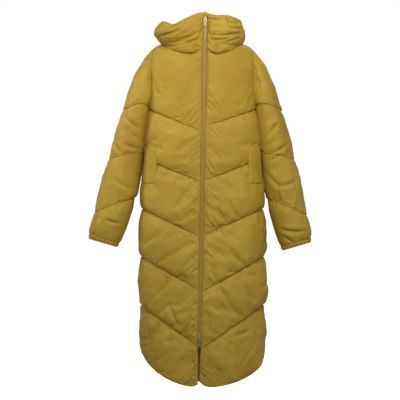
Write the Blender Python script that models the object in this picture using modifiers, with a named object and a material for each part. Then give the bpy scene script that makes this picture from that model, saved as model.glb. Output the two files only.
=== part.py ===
"""A long quilted winter coat with a stand collar, a hood worn down, a two-way front zip and side pockets.

Metres, +Z up, front towards -Y, the wearer's left towards +X. The origin is the centre back of the neck seam,
where the hanger loop is sewn, so every height below it is negative. The coat is made in layers: a shell,
wadding stitched into chevron channels, and a lining. The front closure hangs slightly out of plumb.
"""

import math

import bmesh
import bpy
import numpy as np
from mathutils import Matrix, Vector

# ---------------------------------------------------------------- driving dimensions
COAT_LENGTH = 1.19  # centre back neck to the lowest point of the hem
BODY_AXIS_Y = -0.045  # the middle of the body's cross-sections
SECTION_POWER = 0.8  # 1 is an ellipse, and less is squarer

# Half width and half depth of the back, at heights from the hem to the chest.
BODY_HEIGHTS = (-1.19, -0.98, -0.79, -0.55, -0.36, -0.23, -0.12)
HALF_WIDTHS = (0.214, 0.216, 0.220, 0.213, 0.196, 0.184, 0.181)
BACK_DEPTHS = (0.165, 0.158, 0.150, 0.140, 0.134, 0.130, 0.120)
CHEST_HEIGHT = -0.12

NECK_HALF_WIDTH = 0.080
NECK_HALF_DEPTH = 0.084
NECK_FRONT_DROP = 0.045
NECK_SIDE_RISE = 0.014

# The front edge is one straight line, so that the zip sliders run true.
FRONT_SLOPE = 0.041  # how far it moves back for each metre of height
CLOSURE_LEAN = 0.0185  # how far it moves sideways for each metre of height
CLOSURE_OFFSET = 0.008  # its sideways place at the neck

# Chevron quilting seams, from the lowest up: height at the centre, and rise from there to the side seam.
SEAM_CENTRES = (-1.041, -0.840, -0.651, -0.466, -0.282)
SEAM_RISES = (0.141, 0.109, 0.088, 0.090, 0.061)
VENT_RISE = 0.19  # the rounded hem rises this far to the side vents

# Layers, as distances from the level of the quilting seams: outwards is positive.
SHELL = 0.0012
LAYER_GAP = 0.0006
WADDING_DEPTH = 0.004
LINING_DEPTH = 0.0046
LINING = 0.001
BODY_PUFF = 0.014
SLEEVE_PUFF = 0.010
SEAM_GAP = 0.0006  # between two panels that are sewn together

ARMHOLE_X = 0.1885
ARMHOLE_TOP = -0.020
ARMHOLE_BOTTOM = -0.226
SLEEVE_SCOOP = 0.028  # the armhole seam follows the chest round, front and back

# A sleeve from armhole to cuff: place along it, outer edge x and z, inner edge x and z, half depth.
SLEEVE_STATIONS = (
    (0.00, ARMHOLE_X, ARMHOLE_TOP, ARMHOLE_X, ARMHOLE_BOTTOM, 0.084),
    (0.12, 0.222, -0.075, 0.1940, -0.262, 0.088),
    (0.25, 0.262, -0.170, 0.1995, -0.315, 0.083),
    (0.40, 0.297, -0.285, 0.2075, -0.385, 0.078),
    (0.55, 0.325, -0.385, 0.2165, -0.455, 0.075),
    (0.70, 0.348, -0.475, 0.2290, -0.530, 0.072),
    (0.85, 0.370, -0.570, 0.2510, -0.608, 0.068),
    (1.00, 0.386, -0.658, 0.2770, -0.690, 0.056),
)
SLEEVE_SEAMS = (0.27, 0.49, 0.745)
SLEEVE_CHEVRON = 0.045  # how far a sleeve's seams dip along its outer edge
SLEEVE_INSET = 0.006
CUFF_HEIGHT = 0.012

# The hood and collar: profiles of (place, radius from the neck's axis, height over the neck seam).
HOOD_FRONT = ((0.0, 0.0840, 0.006), (0.5, 0.0808, 0.082), (1.0, 0.0773, 0.163))
HOOD_SIDE = (
    (0.00, 0.080, 0.009),
    (0.25, 0.106, 0.023),
    (0.50, 0.144, 0.030),
    (0.75, 0.167, 0.056),
    (1.00, 0.150, 0.091),
)
HOOD_BACK = (
    (0.00, 0.084, 0.008),
    (0.15, 0.098, 0.036),
    (0.30, 0.140, 0.026),
    (0.45, 0.186, -0.050),
    (0.62, 0.226, -0.150),
    (0.78, 0.268, -0.120),
    (1.00, 0.246, 0.040),
)
HOOD_OUT = 0.006
HOOD_IN = 0.005
HOOD_LINING_GAP = 0.0025
HOOD_PIVOT = (0.0, -0.022, 0.115)  # the hood's pouch lifts about a level line through here
SLEEVE_PIVOT = (0.1885, -0.045, -0.015)  # a sleeve swings out about the top of its armhole
HOOD_START = math.radians(138)  # where the collar ends and the hood's pouch begins
HOOD_CENTRE_ANGLE = math.radians(20)

# Front zip, in its own frame: x across, y inwards, z up along the closure.
EDGE_TO_CLOSURE = 0.010  # from a front edge to the middle of the zip
ZIP_DEPTH = 0.002
ZIP_TOP = 0.098
ZIP_BOTTOM = -1.040
TEETH_GAP = 0.0014
TEETH_WIDTH = 0.0026
TEETH_HEIGHT = 0.0026
TAPE_HEIGHT = 0.0008
CLEARANCE = 0.0003
SLIDER_LENGTH = 0.014
SLIDER_WIDTH = 0.012
SLIDER_HEIGHT = 0.0072
SLIDER_PLATE = 0.0016
POST_WIDTH = 0.0008
BRIDGE_WIDTH = 0.0016
AXLE_OUT = 0.0024  # the pull's axle, in front of the slider's face
PULL_WIDTH = 0.011
PULL_LENGTH = 0.026
PULL_HEIGHT = 0.0014

POCKET_TOP = -0.355
POCKET_HEIGHT = 0.128
WELT_ANGLES = (math.radians(46), math.radians(73))
SLOT_ANGLES = (math.radians(75), math.radians(82))
BAG_ANGLES = (math.radians(38), math.radians(84))
BAG_DEPTHS = (0.0095, 0.0235)
BAG_WALL = 0.001

# ---------------------------------------------------------------- materials
COLOURS = {
    "shell": ((0.48, 0.33, 0.055), 0.50, 0.0),
    "lining": ((0.30, 0.20, 0.045), 0.45, 0.0),
    "wadding": ((0.85, 0.84, 0.80), 0.95, 0.0),
    "zip_tape": ((0.37, 0.24, 0.060), 0.80, 0.0),
    "teeth": ((0.42, 0.29, 0.090), 0.40, 0.0),
    "metal": ((0.72, 0.68, 0.58), 0.30, 1.0),
    "elastic": ((0.34, 0.22, 0.045), 0.85, 0.0),
    "label": ((0.80, 0.78, 0.72), 0.60, 0.0),
}


def material(name):
    found = bpy.data.materials.get(name)
    if found:
        return found
    colour, roughness, metallic = COLOURS[name]
    made = bpy.data.materials.new(name)
    made.use_nodes = True
    shader = made.node_tree.nodes["Principled BSDF"]
    shader.inputs["Base Color"].default_value = (*colour, 1.0)
    shader.inputs["Roughness"].default_value = roughness
    shader.inputs["Metallic"].default_value = metallic
    return made


# ---------------------------------------------------------------- objects and modifiers
def clear_scene():
    for obj in list(bpy.data.objects):
        bpy.data.objects.remove(obj)


def collection(name):
    made = bpy.data.collections.new(name)
    bpy.context.scene.collection.children.link(made)
    return made


def add_object(name, data, slot, parent=None):
    obj = bpy.data.objects.new(name, data)
    obj.data.materials.append(material(slot))
    COAT.objects.link(obj)
    obj.parent = parent
    return obj


def make_cutter(obj):
    for owner in list(obj.users_collection):
        owner.objects.unlink(obj)
    CUTTERS.objects.link(obj)
    obj.hide_render = True
    obj.display_type = "WIRE"
    return obj


def cut(obj, cutter, operation="DIFFERENCE"):
    modifier = obj.modifiers.new(operation.title() + " " + cutter.name, "BOOLEAN")
    modifier.operation = operation
    modifier.object = cutter
    modifier.solver = "EXACT"


def hang_on_pivot(name, place, pieces):
    """Parent finished pieces to an empty on their joint's axis, without moving them."""
    pivot = bpy.data.objects.new(name, None)
    pivot.location = place
    COAT.objects.link(pivot)
    for piece in pieces:
        piece.parent = pivot
        piece.matrix_parent_inverse = Matrix.Translation(place).inverted()


def solidify(obj, thickness):
    modifier = obj.modifiers.new("Fabric", "SOLIDIFY")
    modifier.thickness = thickness
    modifier.offset = -1


def box(name, slot, low, high, parent=None):
    """A box between two corners, in its parent's frame."""
    mesh = bpy.data.meshes.new(name)
    shape = bmesh.new()
    bmesh.ops.create_cube(shape, size=1)
    size = Vector(high) - Vector(low)
    middle = (Vector(high) + Vector(low)) / 2
    place = Matrix.Translation(middle) @ Matrix.Diagonal((*size, 1))
    bmesh.ops.transform(shape, matrix=place, verts=shape.verts)
    shape.to_mesh(mesh)
    shape.free()
    return add_object(name, mesh, slot, parent)


# ---------------------------------------------------------------- surfaces
def unit(vectors):
    return vectors / np.linalg.norm(vectors, axis=-1, keepdims=True)


def normals(surface, across, along, step=1e-4):
    """Outward unit normals of surface(across, along), where across runs anticlockwise seen from above."""
    du = surface(across + step, along) - surface(across - step, along)
    dv = surface(across, along + step) - surface(across, along - step)
    return unit(np.cross(du, dv))


def raised(surface, across, along, height):
    """The surface moved out along its normals by height."""
    return surface(across, along) + normals(surface, across, along) * np.asarray(height)[..., None]


def grid_faces(points, wrap, flip=False, start=0):
    """Triangles over a grid of points, with the same diagonals in every layer, so layers keep their gap."""
    rows, columns = points.shape[:2]
    faces = []
    for i in range(rows - 1):
        for j in range(columns if wrap else columns - 1):
            k = (j + 1) % columns
            middle = points[[i, i, i + 1, i + 1], [j, k, j, k], 0].sum()
            a, b = start + i * columns + j, start + i * columns + k
            c, d = b + columns, a + columns
            pair = [(a, b, c), (a, c, d)] if middle > 1e-4 else [(a, b, d), (b, c, d)]
            faces += [face[::-1] for face in pair] if flip else pair
    return faces


def sheet(name, slot, points, thickness, wrap=False, flip=False):
    """One open grid of points as a piece of fabric, thickened inwards."""
    mesh = bpy.data.meshes.new(name)
    mesh.from_pydata(points.reshape(-1, 3).tolist(), [], grid_faces(points, wrap, flip))
    obj = add_object(name, mesh, slot)
    solidify(obj, thickness)
    return obj


def padded(name, slot, outer, inner, wrap=False, flip=False):
    """A closed solid lofted between an outer and an inner grid, for padding whose thickness varies."""
    rows, columns = outer.shape[:2]
    count = rows * columns
    points = np.concatenate([outer.reshape(-1, 3), inner.reshape(-1, 3)])
    faces = grid_faces(outer, wrap, flip) + grid_faces(inner, wrap, not flip, count)
    if wrap:
        borders = [[j for j in range(columns)] + [0]]
        borders.append([(rows - 1) * columns + j for j in reversed(range(columns))])
        borders[1].append(borders[1][0])
    else:
        bottom = list(range(columns))
        right = [i * columns + columns - 1 for i in range(1, rows)]
        top = [(rows - 1) * columns + j for j in reversed(range(columns - 1))]
        left = [i * columns for i in reversed(range(rows - 1))]
        borders = [bottom + right + top + left]
    for border in borders:
        for a, b in zip(border, border[1:]):
            if a < b:
                pair = [(b, a, b + count), (a, a + count, b + count)]
            else:
                pair = [(b, a, a + count), (b, a + count, b + count)]
            faces += [face[::-1] for face in pair] if flip else pair
    mesh = bpy.data.meshes.new(name)
    mesh.from_pydata(points.tolist(), [], faces)
    return add_object(name, mesh, slot)


def smooth_table(z, heights, values):
    """A cubic curve through (heights, values)."""
    heights = np.array(heights)
    values = np.array(values)
    slopes = np.gradient(values, heights)
    z = np.clip(z, heights[0], heights[-1])
    k = np.clip(np.searchsorted(heights, z, side="right") - 1, 0, len(heights) - 2)
    span = heights[k + 1] - heights[k]
    t = (z - heights[k]) / span
    start = (2 * t**3 - 3 * t**2 + 1) * values[k] + (t**3 - 2 * t**2 + t) * span * slopes[k]
    end = (3 * t**2 - 2 * t**3) * values[k + 1] + (t**3 - t**2) * span * slopes[k + 1]
    return start + end


def front_y(z):
    """Where the straight front closure is, from front to back, at a height."""
    neck_front = -2 * NECK_HALF_DEPTH
    return neck_front + FRONT_SLOPE * (z + NECK_FRONT_DROP)


def closure_x(z):
    return CLOSURE_OFFSET + CLOSURE_LEAN * z


def powered(value, power):
    return np.sign(value) * np.abs(value) ** power


def section(angle, z):
    """A point of the body below the chest. Angle 0 is the front, a quarter turn the wearer's left."""
    width = smooth_table(z, BODY_HEIGHTS, HALF_WIDTHS)
    front = BODY_AXIS_Y - front_y(z)
    back = smooth_table(z, BODY_HEIGHTS, BACK_DEPTHS)
    depth = np.where(np.cos(angle) > 0, front, back)
    x = width * powered(np.sin(angle), SECTION_POWER)
    y = BODY_AXIS_Y - depth * powered(np.cos(angle), SECTION_POWER)
    return np.stack([x, y, z + 0 * angle], axis=-1)


def neck_ring(angle):
    x = NECK_HALF_WIDTH * np.sin(angle)
    y = -NECK_HALF_DEPTH * (1 + np.cos(angle))
    z = NECK_SIDE_RISE * np.sin(angle) ** 2 - NECK_FRONT_DROP * ((1 + np.cos(angle)) / 2) ** 2
    return np.stack([x, y, z], axis=-1)


def side_share(angle):
    """0 at the front and back, 1 at the side seams, in even steps between."""
    turned = np.abs(np.arctan2(np.sin(angle), np.cos(angle)))
    return 1 - np.abs(1 - turned / (math.pi / 2))


def row_heights(angle):
    """Heights of the hem, each quilting seam and the chest line at an angle, lowest first."""
    share = side_share(angle)
    hem = -COAT_LENGTH + VENT_RISE * (1 - (1 - share**1.5) ** (1 / 1.5))
    seams = [centre + rise * share for centre, rise in zip(SEAM_CENTRES, SEAM_RISES)]
    return [hem, *seams, CHEST_HEIGHT + 0 * share]


CHEST_ROW = len(SEAM_CENTRES) + 1
NECK_ROW = CHEST_ROW + 1
YOKE_ROW = len(SEAM_CENTRES)


def body(angle, row):
    """The body at its quilting seams' level. Row 0 is the hem, 1 to 5 the seams, 6 the chest, 7 the neck."""
    angle = np.asarray(angle, float)
    row = np.asarray(row, float) + 0 * angle
    lines = np.stack(row_heights(angle), axis=-1)
    k = np.clip(np.floor(row).astype(int), 0, CHEST_ROW - 1)
    low = np.take_along_axis(lines, k[..., None], axis=-1)[..., 0]
    high = np.take_along_axis(lines, k[..., None] + 1, axis=-1)[..., 0]
    below = section(angle, low + (high - low) * np.clip(row - k, -1, 1))
    # From the chest up, a superelliptic arc to the neck: square at the shoulders, straight at front and back.
    t = np.clip(row - CHEST_ROW, 0, 1) * math.pi / 2
    power = 2 - 1.5 * np.sin(angle) ** 2
    chest = section(angle, CHEST_HEIGHT + 0 * angle)
    neck = neck_ring(angle)
    flat = np.abs(np.cos(t)) ** power
    rise = np.abs(np.sin(t)) ** power
    above = neck + (chest - neck) * flat[..., None]
    above[..., 2] = chest[..., 2] + (neck[..., 2] - chest[..., 2]) * rise
    return np.where((row > CHEST_ROW)[..., None], above, below)


def channel_puff(share):
    """Height of a padded channel across its width: nothing at its seams, and flat on top."""
    return 1 - np.abs(2 * share - 1) ** 4


def body_puff(row, across):
    """Height of the padding above the seams. Across runs from 0 to 1 over a panel."""
    yoke = (row - YOKE_ROW) / (NECK_ROW - YOKE_ROW)
    share = np.where(row >= YOKE_ROW, yoke, row - np.floor(row))
    edge = 0.3 + 0.7 * (1 - np.abs(2 * across - 1) ** 6)
    return BODY_PUFF * channel_puff(share) * edge


def closure_angle(row, side):
    """The angle where a row of the body meets the front edge, on side -1 or 1."""
    angles = np.linspace(-0.6, 0.6, 241)
    points = body(angles, np.full_like(angles, row))
    return float(np.interp(0, points[:, 0] - closure_x(points[:, 2]) - side * EDGE_TO_CLOSURE, angles))


CHANNEL_STEPS = (0.0, 0.28, 0.72)
SHELL_ROWS = [k + s for k in range(YOKE_ROW) for s in CHANNEL_STEPS] + [5.0, 5.5, 6.0, 6.3, 6.55, 6.8, 6.995]


def panel_angles(panel, rows, columns):
    """(angles, shares) of a panel's grid. Both run anticlockwise seen from above."""
    share = np.linspace(0, 1, columns)
    gap = SEAM_GAP / NECK_HALF_WIDTH / 2
    side = math.pi / 2
    angles = []
    for row in rows:
        if panel == "back":
            ends = (side + gap, 3 * side - gap)
        elif panel == "left":
            ends = (closure_angle(row, 1), side - gap)
        else:
            ends = (-side + gap, closure_angle(row, -1))
        angles.append(ends[0] + (ends[1] - ends[0]) * share)
    return np.array(angles), share[None, :] + np.zeros((len(rows), 1))


def panel_layers(panel, prefix, columns):
    """The shell, wadding and lining of one body panel."""
    made = []
    angles, across = panel_angles(panel, SHELL_ROWS, columns)
    rows = np.array(SHELL_ROWS)[:, None] + np.zeros((1, columns))
    puff = body_puff(rows, across)
    outside = raised(body, angles, rows, puff)
    made.append(sheet(prefix + "_shell", "shell", outside, SHELL))
    under_shell = np.maximum(puff - SHELL - LAYER_GAP, -SHELL - LAYER_GAP)
    outer = raised(body, angles, rows, under_shell)
    inner = raised(body, angles, rows, -WADDING_DEPTH + 0 * rows)
    made.append(padded(prefix + "_wadding", "wadding", outer, inner))
    inside = raised(body, angles, rows, -LINING_DEPTH + 0 * rows)
    made.append(sheet(prefix + "_lining", "lining", inside, LINING))
    return made


# ---------------------------------------------------------------- sleeves
def station(place):
    table = np.array(SLEEVE_STATIONS)
    return [smooth_table(place, table[:, 0], table[:, k]) for k in range(1, 6)]


def sleeve(angle, row):
    """The left sleeve at the level of its seams. Angle 0 is its outer edge, row 0 the armhole, 4 the cuff."""
    angle = np.asarray(angle, float)
    row = np.asarray(row, float) + 0 * angle
    marks = np.array((0.0, *SLEEVE_SEAMS, 1.0))
    place = np.interp(row, np.arange(len(marks)), marks)
    place = place + SLEEVE_CHEVRON * np.cos(angle) * np.sin(math.pi * place)
    outer_x, outer_z, inner_x, inner_z, depth = station(place)
    middle_x = (outer_x + inner_x) / 2
    middle_z = (outer_z + inner_z) / 2
    half_x = (outer_x - inner_x) / 2
    half_z = (outer_z - inner_z) / 2
    shrink = 1 - SLEEVE_INSET / np.hypot(half_x, half_z)
    scoop = SLEEVE_SCOOP * np.sin(angle) ** 2 * np.clip(1 - place / 0.12, 0, 1)
    x = middle_x + shrink * half_x * np.cos(angle) - scoop
    z = middle_z + shrink * half_z * np.cos(angle)
    y = BODY_AXIS_Y - 0.02 * place - (depth - SLEEVE_INSET) * np.sin(angle)
    return np.stack([x, y, z], axis=-1)


SLEEVE_ROWS = [0.0, 0.35, 0.75, 1.0, 1.3, 1.7, 2.0, 2.3, 2.7, 3.0, 3.3, 3.8, 3.93]
SLEEVE_COLUMNS = 12


def mirrored(points, side):
    return points * np.array([side, 1, 1])


def sleeve_layers(side, prefix):
    """The shell, wadding, lining and elastic cuff of one sleeve."""
    turn = np.linspace(0, 2 * math.pi, SLEEVE_COLUMNS, endpoint=False)
    angles = turn[None, :] + np.zeros((len(SLEEVE_ROWS), 1))
    rows = np.array(SLEEVE_ROWS)[:, None] + 0 * angles
    fullness = 0.3 + 0.7 * (1 + np.cos(angles)) / 2
    fullness = np.maximum(fullness, 0.9 * np.abs(np.sin(angles)))
    puff = SLEEVE_PUFF * channel_puff(rows - np.floor(rows)) * fullness
    flip = side < 0
    outside = mirrored(raised(sleeve, angles, rows, puff), side)
    sheet_made = sheet(prefix + "_sleeve_shell", "shell", outside, SHELL, True, flip)
    outer = mirrored(raised(sleeve, angles, rows, puff - SHELL - LAYER_GAP), side)
    inner = mirrored(raised(sleeve, angles, rows, -WADDING_DEPTH + 0 * rows), side)
    wadding = padded(prefix + "_sleeve_wadding", "wadding", outer, inner, True, flip)
    outside = mirrored(raised(sleeve, angles, rows, -LINING_DEPTH - 0.0004 + 0 * rows), side)
    lining = sheet(prefix + "_sleeve_lining", "lining", outside, LINING, True, flip)
    cuff_rows = np.array([3.935, 4.0])[:, None] + 0 * angles[:2]
    outer = mirrored(raised(sleeve, angles[:2], cuff_rows, 0.0 * cuff_rows), side)
    inner = mirrored(raised(sleeve, angles[:2], cuff_rows, -WADDING_DEPTH - LINING + 0 * cuff_rows), side)
    cuff = padded(prefix + "_cuff_elastic", "elastic", outer, inner, True, flip)
    return [sheet_made, wadding, lining, cuff]


# ---------------------------------------------------------------- hood and collar
def profile(table, place):
    table = np.array(table)
    return [smooth_table(place, table[:, 0], table[:, k]) for k in (1, 2)]


def hood(angle, rise):
    """The collar and hood as one sheet from the neck seam, rise 0, to the rim, rise 1."""
    angle = np.asarray(angle, float)
    rise = np.asarray(rise, float) + 0 * angle
    forward = np.cos(angle) > 0
    end_weight = np.where(forward, np.cos(angle) ** 2, np.cos(angle) ** 4)
    ends = [np.where(forward, f, b) for f, b in zip(profile(HOOD_FRONT, rise), profile(HOOD_BACK, rise))]
    radius, height = (s + end_weight * (e - s) for s, e in zip(profile(HOOD_SIDE, rise), ends))
    height = height + neck_ring(angle)[..., 2]
    return np.stack([radius * np.sin(angle), -NECK_HALF_DEPTH - radius * np.cos(angle), height], axis=-1)


HOOD_RISES = np.array([0.0, 0.15, 0.3, 0.45, 0.62, 0.78, 1.0])


def closure_angle_on_hood(rise, side):
    angles = np.linspace(-0.6, 0.6, 241)
    points = hood(angles, np.full_like(angles, rise))
    return float(np.interp(0, points[:, 0] - closure_x(points[:, 2]) - side * EDGE_TO_CLOSURE, angles))


def hood_piece(name, slot, angles, outside, inside):
    """A piece of the hood's sheet over a grid of angles, one row of them for each rise."""
    rises = HOOD_RISES[:, None] + 0 * angles
    outer = raised(hood, angles, rises, outside + 0 * rises)
    inner = raised(hood, angles, rises, inside + 0 * rises)
    return padded(name, slot, outer, inner)


def make_collar():
    share = np.linspace(0, 1, 9)
    for side, prefix in ((1, "left"), (-1, "right")):
        edges = [closure_angle_on_hood(rise, side) for rise in HOOD_RISES]
        angles = np.array([edge + (side * HOOD_START - edge) * share for edge in edges])
        angles = angles[:, ::side]
        hood_piece(prefix + "_collar", "shell", angles, HOOD_OUT, -HOOD_IN)
        depth = -HOOD_IN - LAYER_GAP
        hood_piece(prefix + "_collar_lining", "lining", angles, depth, depth - LINING)


def make_hood():
    """The hood's pouch at the back: three panels, and one lining inside them."""
    near = HOOD_START + 4 * SEAM_GAP / NECK_HALF_WIDTH
    left_seam = math.pi - HOOD_CENTRE_ANGLE
    gap = SEAM_GAP / NECK_HALF_WIDTH
    turns = (
        ("hood_left_panel", np.linspace(near, left_seam - gap, 4)),
        ("hood_centre_panel", np.linspace(left_seam + gap, 2 * math.pi - left_seam - gap, 5)),
        ("hood_right_panel", np.linspace(2 * math.pi - left_seam + gap, 2 * math.pi - near, 4)),
    )
    made = []
    for name, turn in turns:
        angles = turn[None, :] + 0 * HOOD_RISES[:, None]
        made.append(hood_piece(name, "shell", angles, HOOD_OUT, -HOOD_IN))
    turn = np.concatenate([turn for _, turn in turns])
    angles = turn[None, :] + 0 * HOOD_RISES[:, None]
    depth = -HOOD_IN - HOOD_LINING_GAP
    made.append(hood_piece("hood_lining", "lining", angles, depth, depth - LINING))
    return made


# ---------------------------------------------------------------- zip
def closure_frame():
    """An empty at the front neck point, with its Z axis along the closure and Y inwards."""
    along = Vector((CLOSURE_LEAN, FRONT_SLOPE, 1)).normalized()
    across = (Vector((1, 0, 0)) - along * along.x).normalized()
    inwards = along.cross(across)
    rotation = Matrix((across, inwards, along)).transposed().to_4x4()
    start = Vector((closure_x(-NECK_FRONT_DROP), front_y(-NECK_FRONT_DROP), -NECK_FRONT_DROP))
    empty = bpy.data.objects.new("closure_line", None)
    COAT.objects.link(empty)
    empty.matrix_world = Matrix.Translation(start) @ rotation
    return empty


def along_closure(z):
    """A height as a distance up the closure from the neck."""
    return (z + NECK_FRONT_DROP) * math.sqrt(1 + CLOSURE_LEAN**2 + FRONT_SLOPE**2)


def make_zip_tapes(line):
    made = []
    low = along_closure(ZIP_BOTTOM)
    high = along_closure(ZIP_TOP)
    teeth_in = TEETH_GAP / 2
    teeth_out = teeth_in + TEETH_WIDTH
    for side, prefix in ((1, "left"), (-1, "right")):

        def strip(name, slot, x0, x1, height, z0, z1, side=side, prefix=prefix):
            xs = sorted((side * x0, side * x1))
            low_corner = (xs[0], ZIP_DEPTH - height / 2, z0)
            high_corner = (xs[1], ZIP_DEPTH + height / 2, z1)
            return box(f"{prefix}_{name}", slot, low_corner, high_corner, line)

        tape_edge = EDGE_TO_CLOSURE - 2 * CLEARANCE
        made.append(strip("zip_tape", "zip_tape", teeth_out + CLEARANCE, tape_edge, TAPE_HEIGHT, low, high))
        stop = 0.004
        teeth_ends = (low + 0.012, high - stop - CLEARANCE)
        made.append(strip("zip_teeth", "teeth", teeth_in, teeth_out, TEETH_HEIGHT, *teeth_ends))
        made.append(strip("zip_top_stop", "metal", teeth_in, teeth_out, TEETH_HEIGHT, high - stop, high))
        made.append(strip("zip_end_pin", "metal", teeth_in, teeth_out, TEETH_HEIGHT, low, low + 0.0117))
    return made


def outline_solid(name, slot, loops, depth, parent):
    """A flat outline, with its holes as further loops, extruded by depth centred on its plane."""
    curve = bpy.data.curves.new(name, "CURVE")
    curve.dimensions = "2D"
    curve.fill_mode = "BOTH"
    curve.extrude = depth / 2
    for loop in loops:
        spline = curve.splines.new("POLY")
        spline.points.add(len(loop) - 1)
        spline.use_cyclic_u = True
        for point, (x, y) in zip(spline.points, loop):
            point.co = (x, y, 0, 1)
    return add_object(name, curve, slot, parent)


def as_mesh(obj):
    """The same object as a closed mesh, its caps welded to its sides."""
    bpy.context.view_layer.update()
    graph = bpy.context.evaluated_depsgraph_get()
    mesh = bpy.data.meshes.new_from_object(obj.evaluated_get(graph))
    shape = bmesh.new()
    shape.from_mesh(mesh)
    bmesh.ops.remove_doubles(shape, verts=shape.verts, dist=1e-6)
    shape.to_mesh(mesh)
    shape.free()
    name = obj.name
    world = obj.matrix_world.copy()
    bpy.data.objects.remove(obj)
    made = bpy.data.objects.new(name, mesh)
    COAT.objects.link(made)
    made.matrix_world = world
    return made


def channelled_block(name, parent):
    """A slider's body: two plates on a narrow post, with lips at the sides that hold the teeth in."""
    high = Vector((SLIDER_WIDTH, SLIDER_HEIGHT, SLIDER_LENGTH)) / 2
    slider = box(name, "metal", -high, high, parent)
    plate = high.y - SLIDER_PLATE
    lip = high.x - 0.0018
    slit = TAPE_HEIGHT / 2 + CLEARANCE
    for side, label in ((1, "_left"), (-1, "_right")):
        xs = sorted((side * POST_WIDTH / 2, side * lip))
        corners = (xs[0], -plate, -0.01), (xs[1], plate, 0.01)
        channel = box(name + label + "_channel", "metal", *corners, parent)
        xs = sorted((side * (lip - 0.001), side * 0.01))
        lips = box(name + label + "_lips", "metal", (xs[0], -slit, -0.02), (xs[1], slit, 0.02), parent)
        cut(slider, make_cutter(channel))
        cut(slider, make_cutter(lips))
    return slider


def circle(radius, x, y, count):
    turns = np.linspace(0, 2 * math.pi, count, False)
    return [(x + radius * math.cos(a), y + radius * math.sin(a)) for a in turns]


def make_slider(name, line, middle):
    """A slider with the bridge that holds its pull, centred at a distance up the closure."""
    empty = bpy.data.objects.new(name + "_place", None)
    COAT.objects.link(empty)
    empty.parent = line
    empty.location = (0, ZIP_DEPTH, middle)
    slider = channelled_block(name, empty)
    # The bridge stands on the front plate, in the plane across the pull's axle.
    face = -SLIDER_HEIGHT / 2
    axle = face - AXLE_OUT
    arch = [(face + 0.0006, -0.0042), (axle - 0.0006, -0.0036), (axle - 0.0026, -0.0018)]
    arch += [(a, -b) for a, b in reversed(arch)]
    hole = circle(0.0014, axle, 0, 10)
    bridge = outline_solid(name + "_bridge", "metal", [arch, hole], BRIDGE_WIDTH, empty)
    bridge.rotation_euler = (math.radians(90), 0, math.radians(90))
    bridge = make_cutter(as_mesh(bridge))
    cut(slider, bridge, "UNION")
    return slider, axle


def make_pull(name, line, middle, axle):
    """A teardrop pull that hangs from a bar through the bridge. Its origin is on the bar's axis."""
    half = PULL_WIDTH / 2
    neck = 0.0031
    drop = [(neck, 0.0008), (-neck, 0.0008), (-neck, -0.0065)]
    lower = circle(half, 0, -(PULL_LENGTH - half - 0.0008), 24)
    bottom = [p for p in lower if p[1] < -(PULL_LENGTH - half - 0.0008) + half * 0.5]
    bottom.sort(key=lambda p: math.atan2(p[0], -(p[1] + PULL_LENGTH - half)))
    outline = drop + bottom + [(neck, -0.0065)]
    window = [(0.0016, -0.0008), (0.0016, -0.0052), (-0.0016, -0.0052), (-0.0016, -0.0008)]
    ring = circle(0.0031, 0, -(PULL_LENGTH - half - 0.0008), 16)
    pull = outline_solid(name, "metal", [outline, window, ring], PULL_HEIGHT, line)
    pull.location = (0, ZIP_DEPTH + axle, middle)
    pull.rotation_euler = (math.radians(90), 0, 0)
    return pull


def make_sliders(line):
    top = along_closure(ZIP_TOP) - 0.004 - SLIDER_LENGTH / 2 - 2 * CLEARANCE
    bottom = along_closure(ZIP_BOTTOM) + 0.012 + SLIDER_LENGTH / 2 + CLEARANCE
    for prefix, middle in (("upper", top), ("lower", bottom)):
        slider, axle = make_slider(prefix + "_slider", line, middle)
        make_pull(prefix + "_pull", line, middle, axle)


# ---------------------------------------------------------------- pockets and trim
def body_block(name, slot, angles, heights, depths, columns=4):
    """A curved block between two angles, two heights and two distances from the seam level."""
    steps = np.linspace(*angles, columns)
    rows = [heights[0], (heights[0] + heights[1]) / 2, heights[1]]
    grid = np.array([[(a, z) for a in steps] for z in rows])
    outer = raised(section, grid[..., 0], grid[..., 1], depths[1] + 0 * grid[..., 0])
    inner = raised(section, grid[..., 0], grid[..., 1], depths[0] + 0 * grid[..., 0])
    return padded(name, slot, outer, inner)


def make_pocket(prefix, side, walls):
    """A padded welt, the slot behind it through every layer, and the bag inside the lining."""
    low = POCKET_TOP - POCKET_HEIGHT

    def span(angles):
        return sorted(side * a for a in angles)

    # The welt is stitched over a channel, so it stands on a flattened part of the front.
    welt_heights = (low, POCKET_TOP)
    front = body_block(prefix + "_pocket_welt", "shell", span(WELT_ANGLES), welt_heights, (0.0148, 0.0208))
    slot_heights = (low + 0.008, POCKET_TOP - 0.008)
    slot = body_block(prefix + "_slot", "shell", span(SLOT_ANGLES), slot_heights, (-0.012, 0.05), 2)
    make_cutter(slot)
    for wall in walls:
        cut(wall, slot)
    bag_depths = (-BAG_DEPTHS[1], -BAG_DEPTHS[0])
    bag_heights = (low - 0.03, POCKET_TOP + 0.01)
    bag = body_block(prefix + "_pocket_bag", "lining", span(BAG_ANGLES), bag_heights, bag_depths)
    inner_angles = (BAG_ANGLES[0] + 0.01, BAG_ANGLES[1] - 0.01)
    hollow_depths = (bag_depths[0] + BAG_WALL, bag_depths[1] - BAG_WALL)
    hollow_heights = (low - 0.03 + BAG_WALL, POCKET_TOP + 0.01 - BAG_WALL)
    hollow = body_block(prefix + "_hollow", "lining", span(inner_angles), hollow_heights, hollow_depths)
    cut(bag, make_cutter(hollow))
    cut(bag, slot)
    return front, bag


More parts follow.
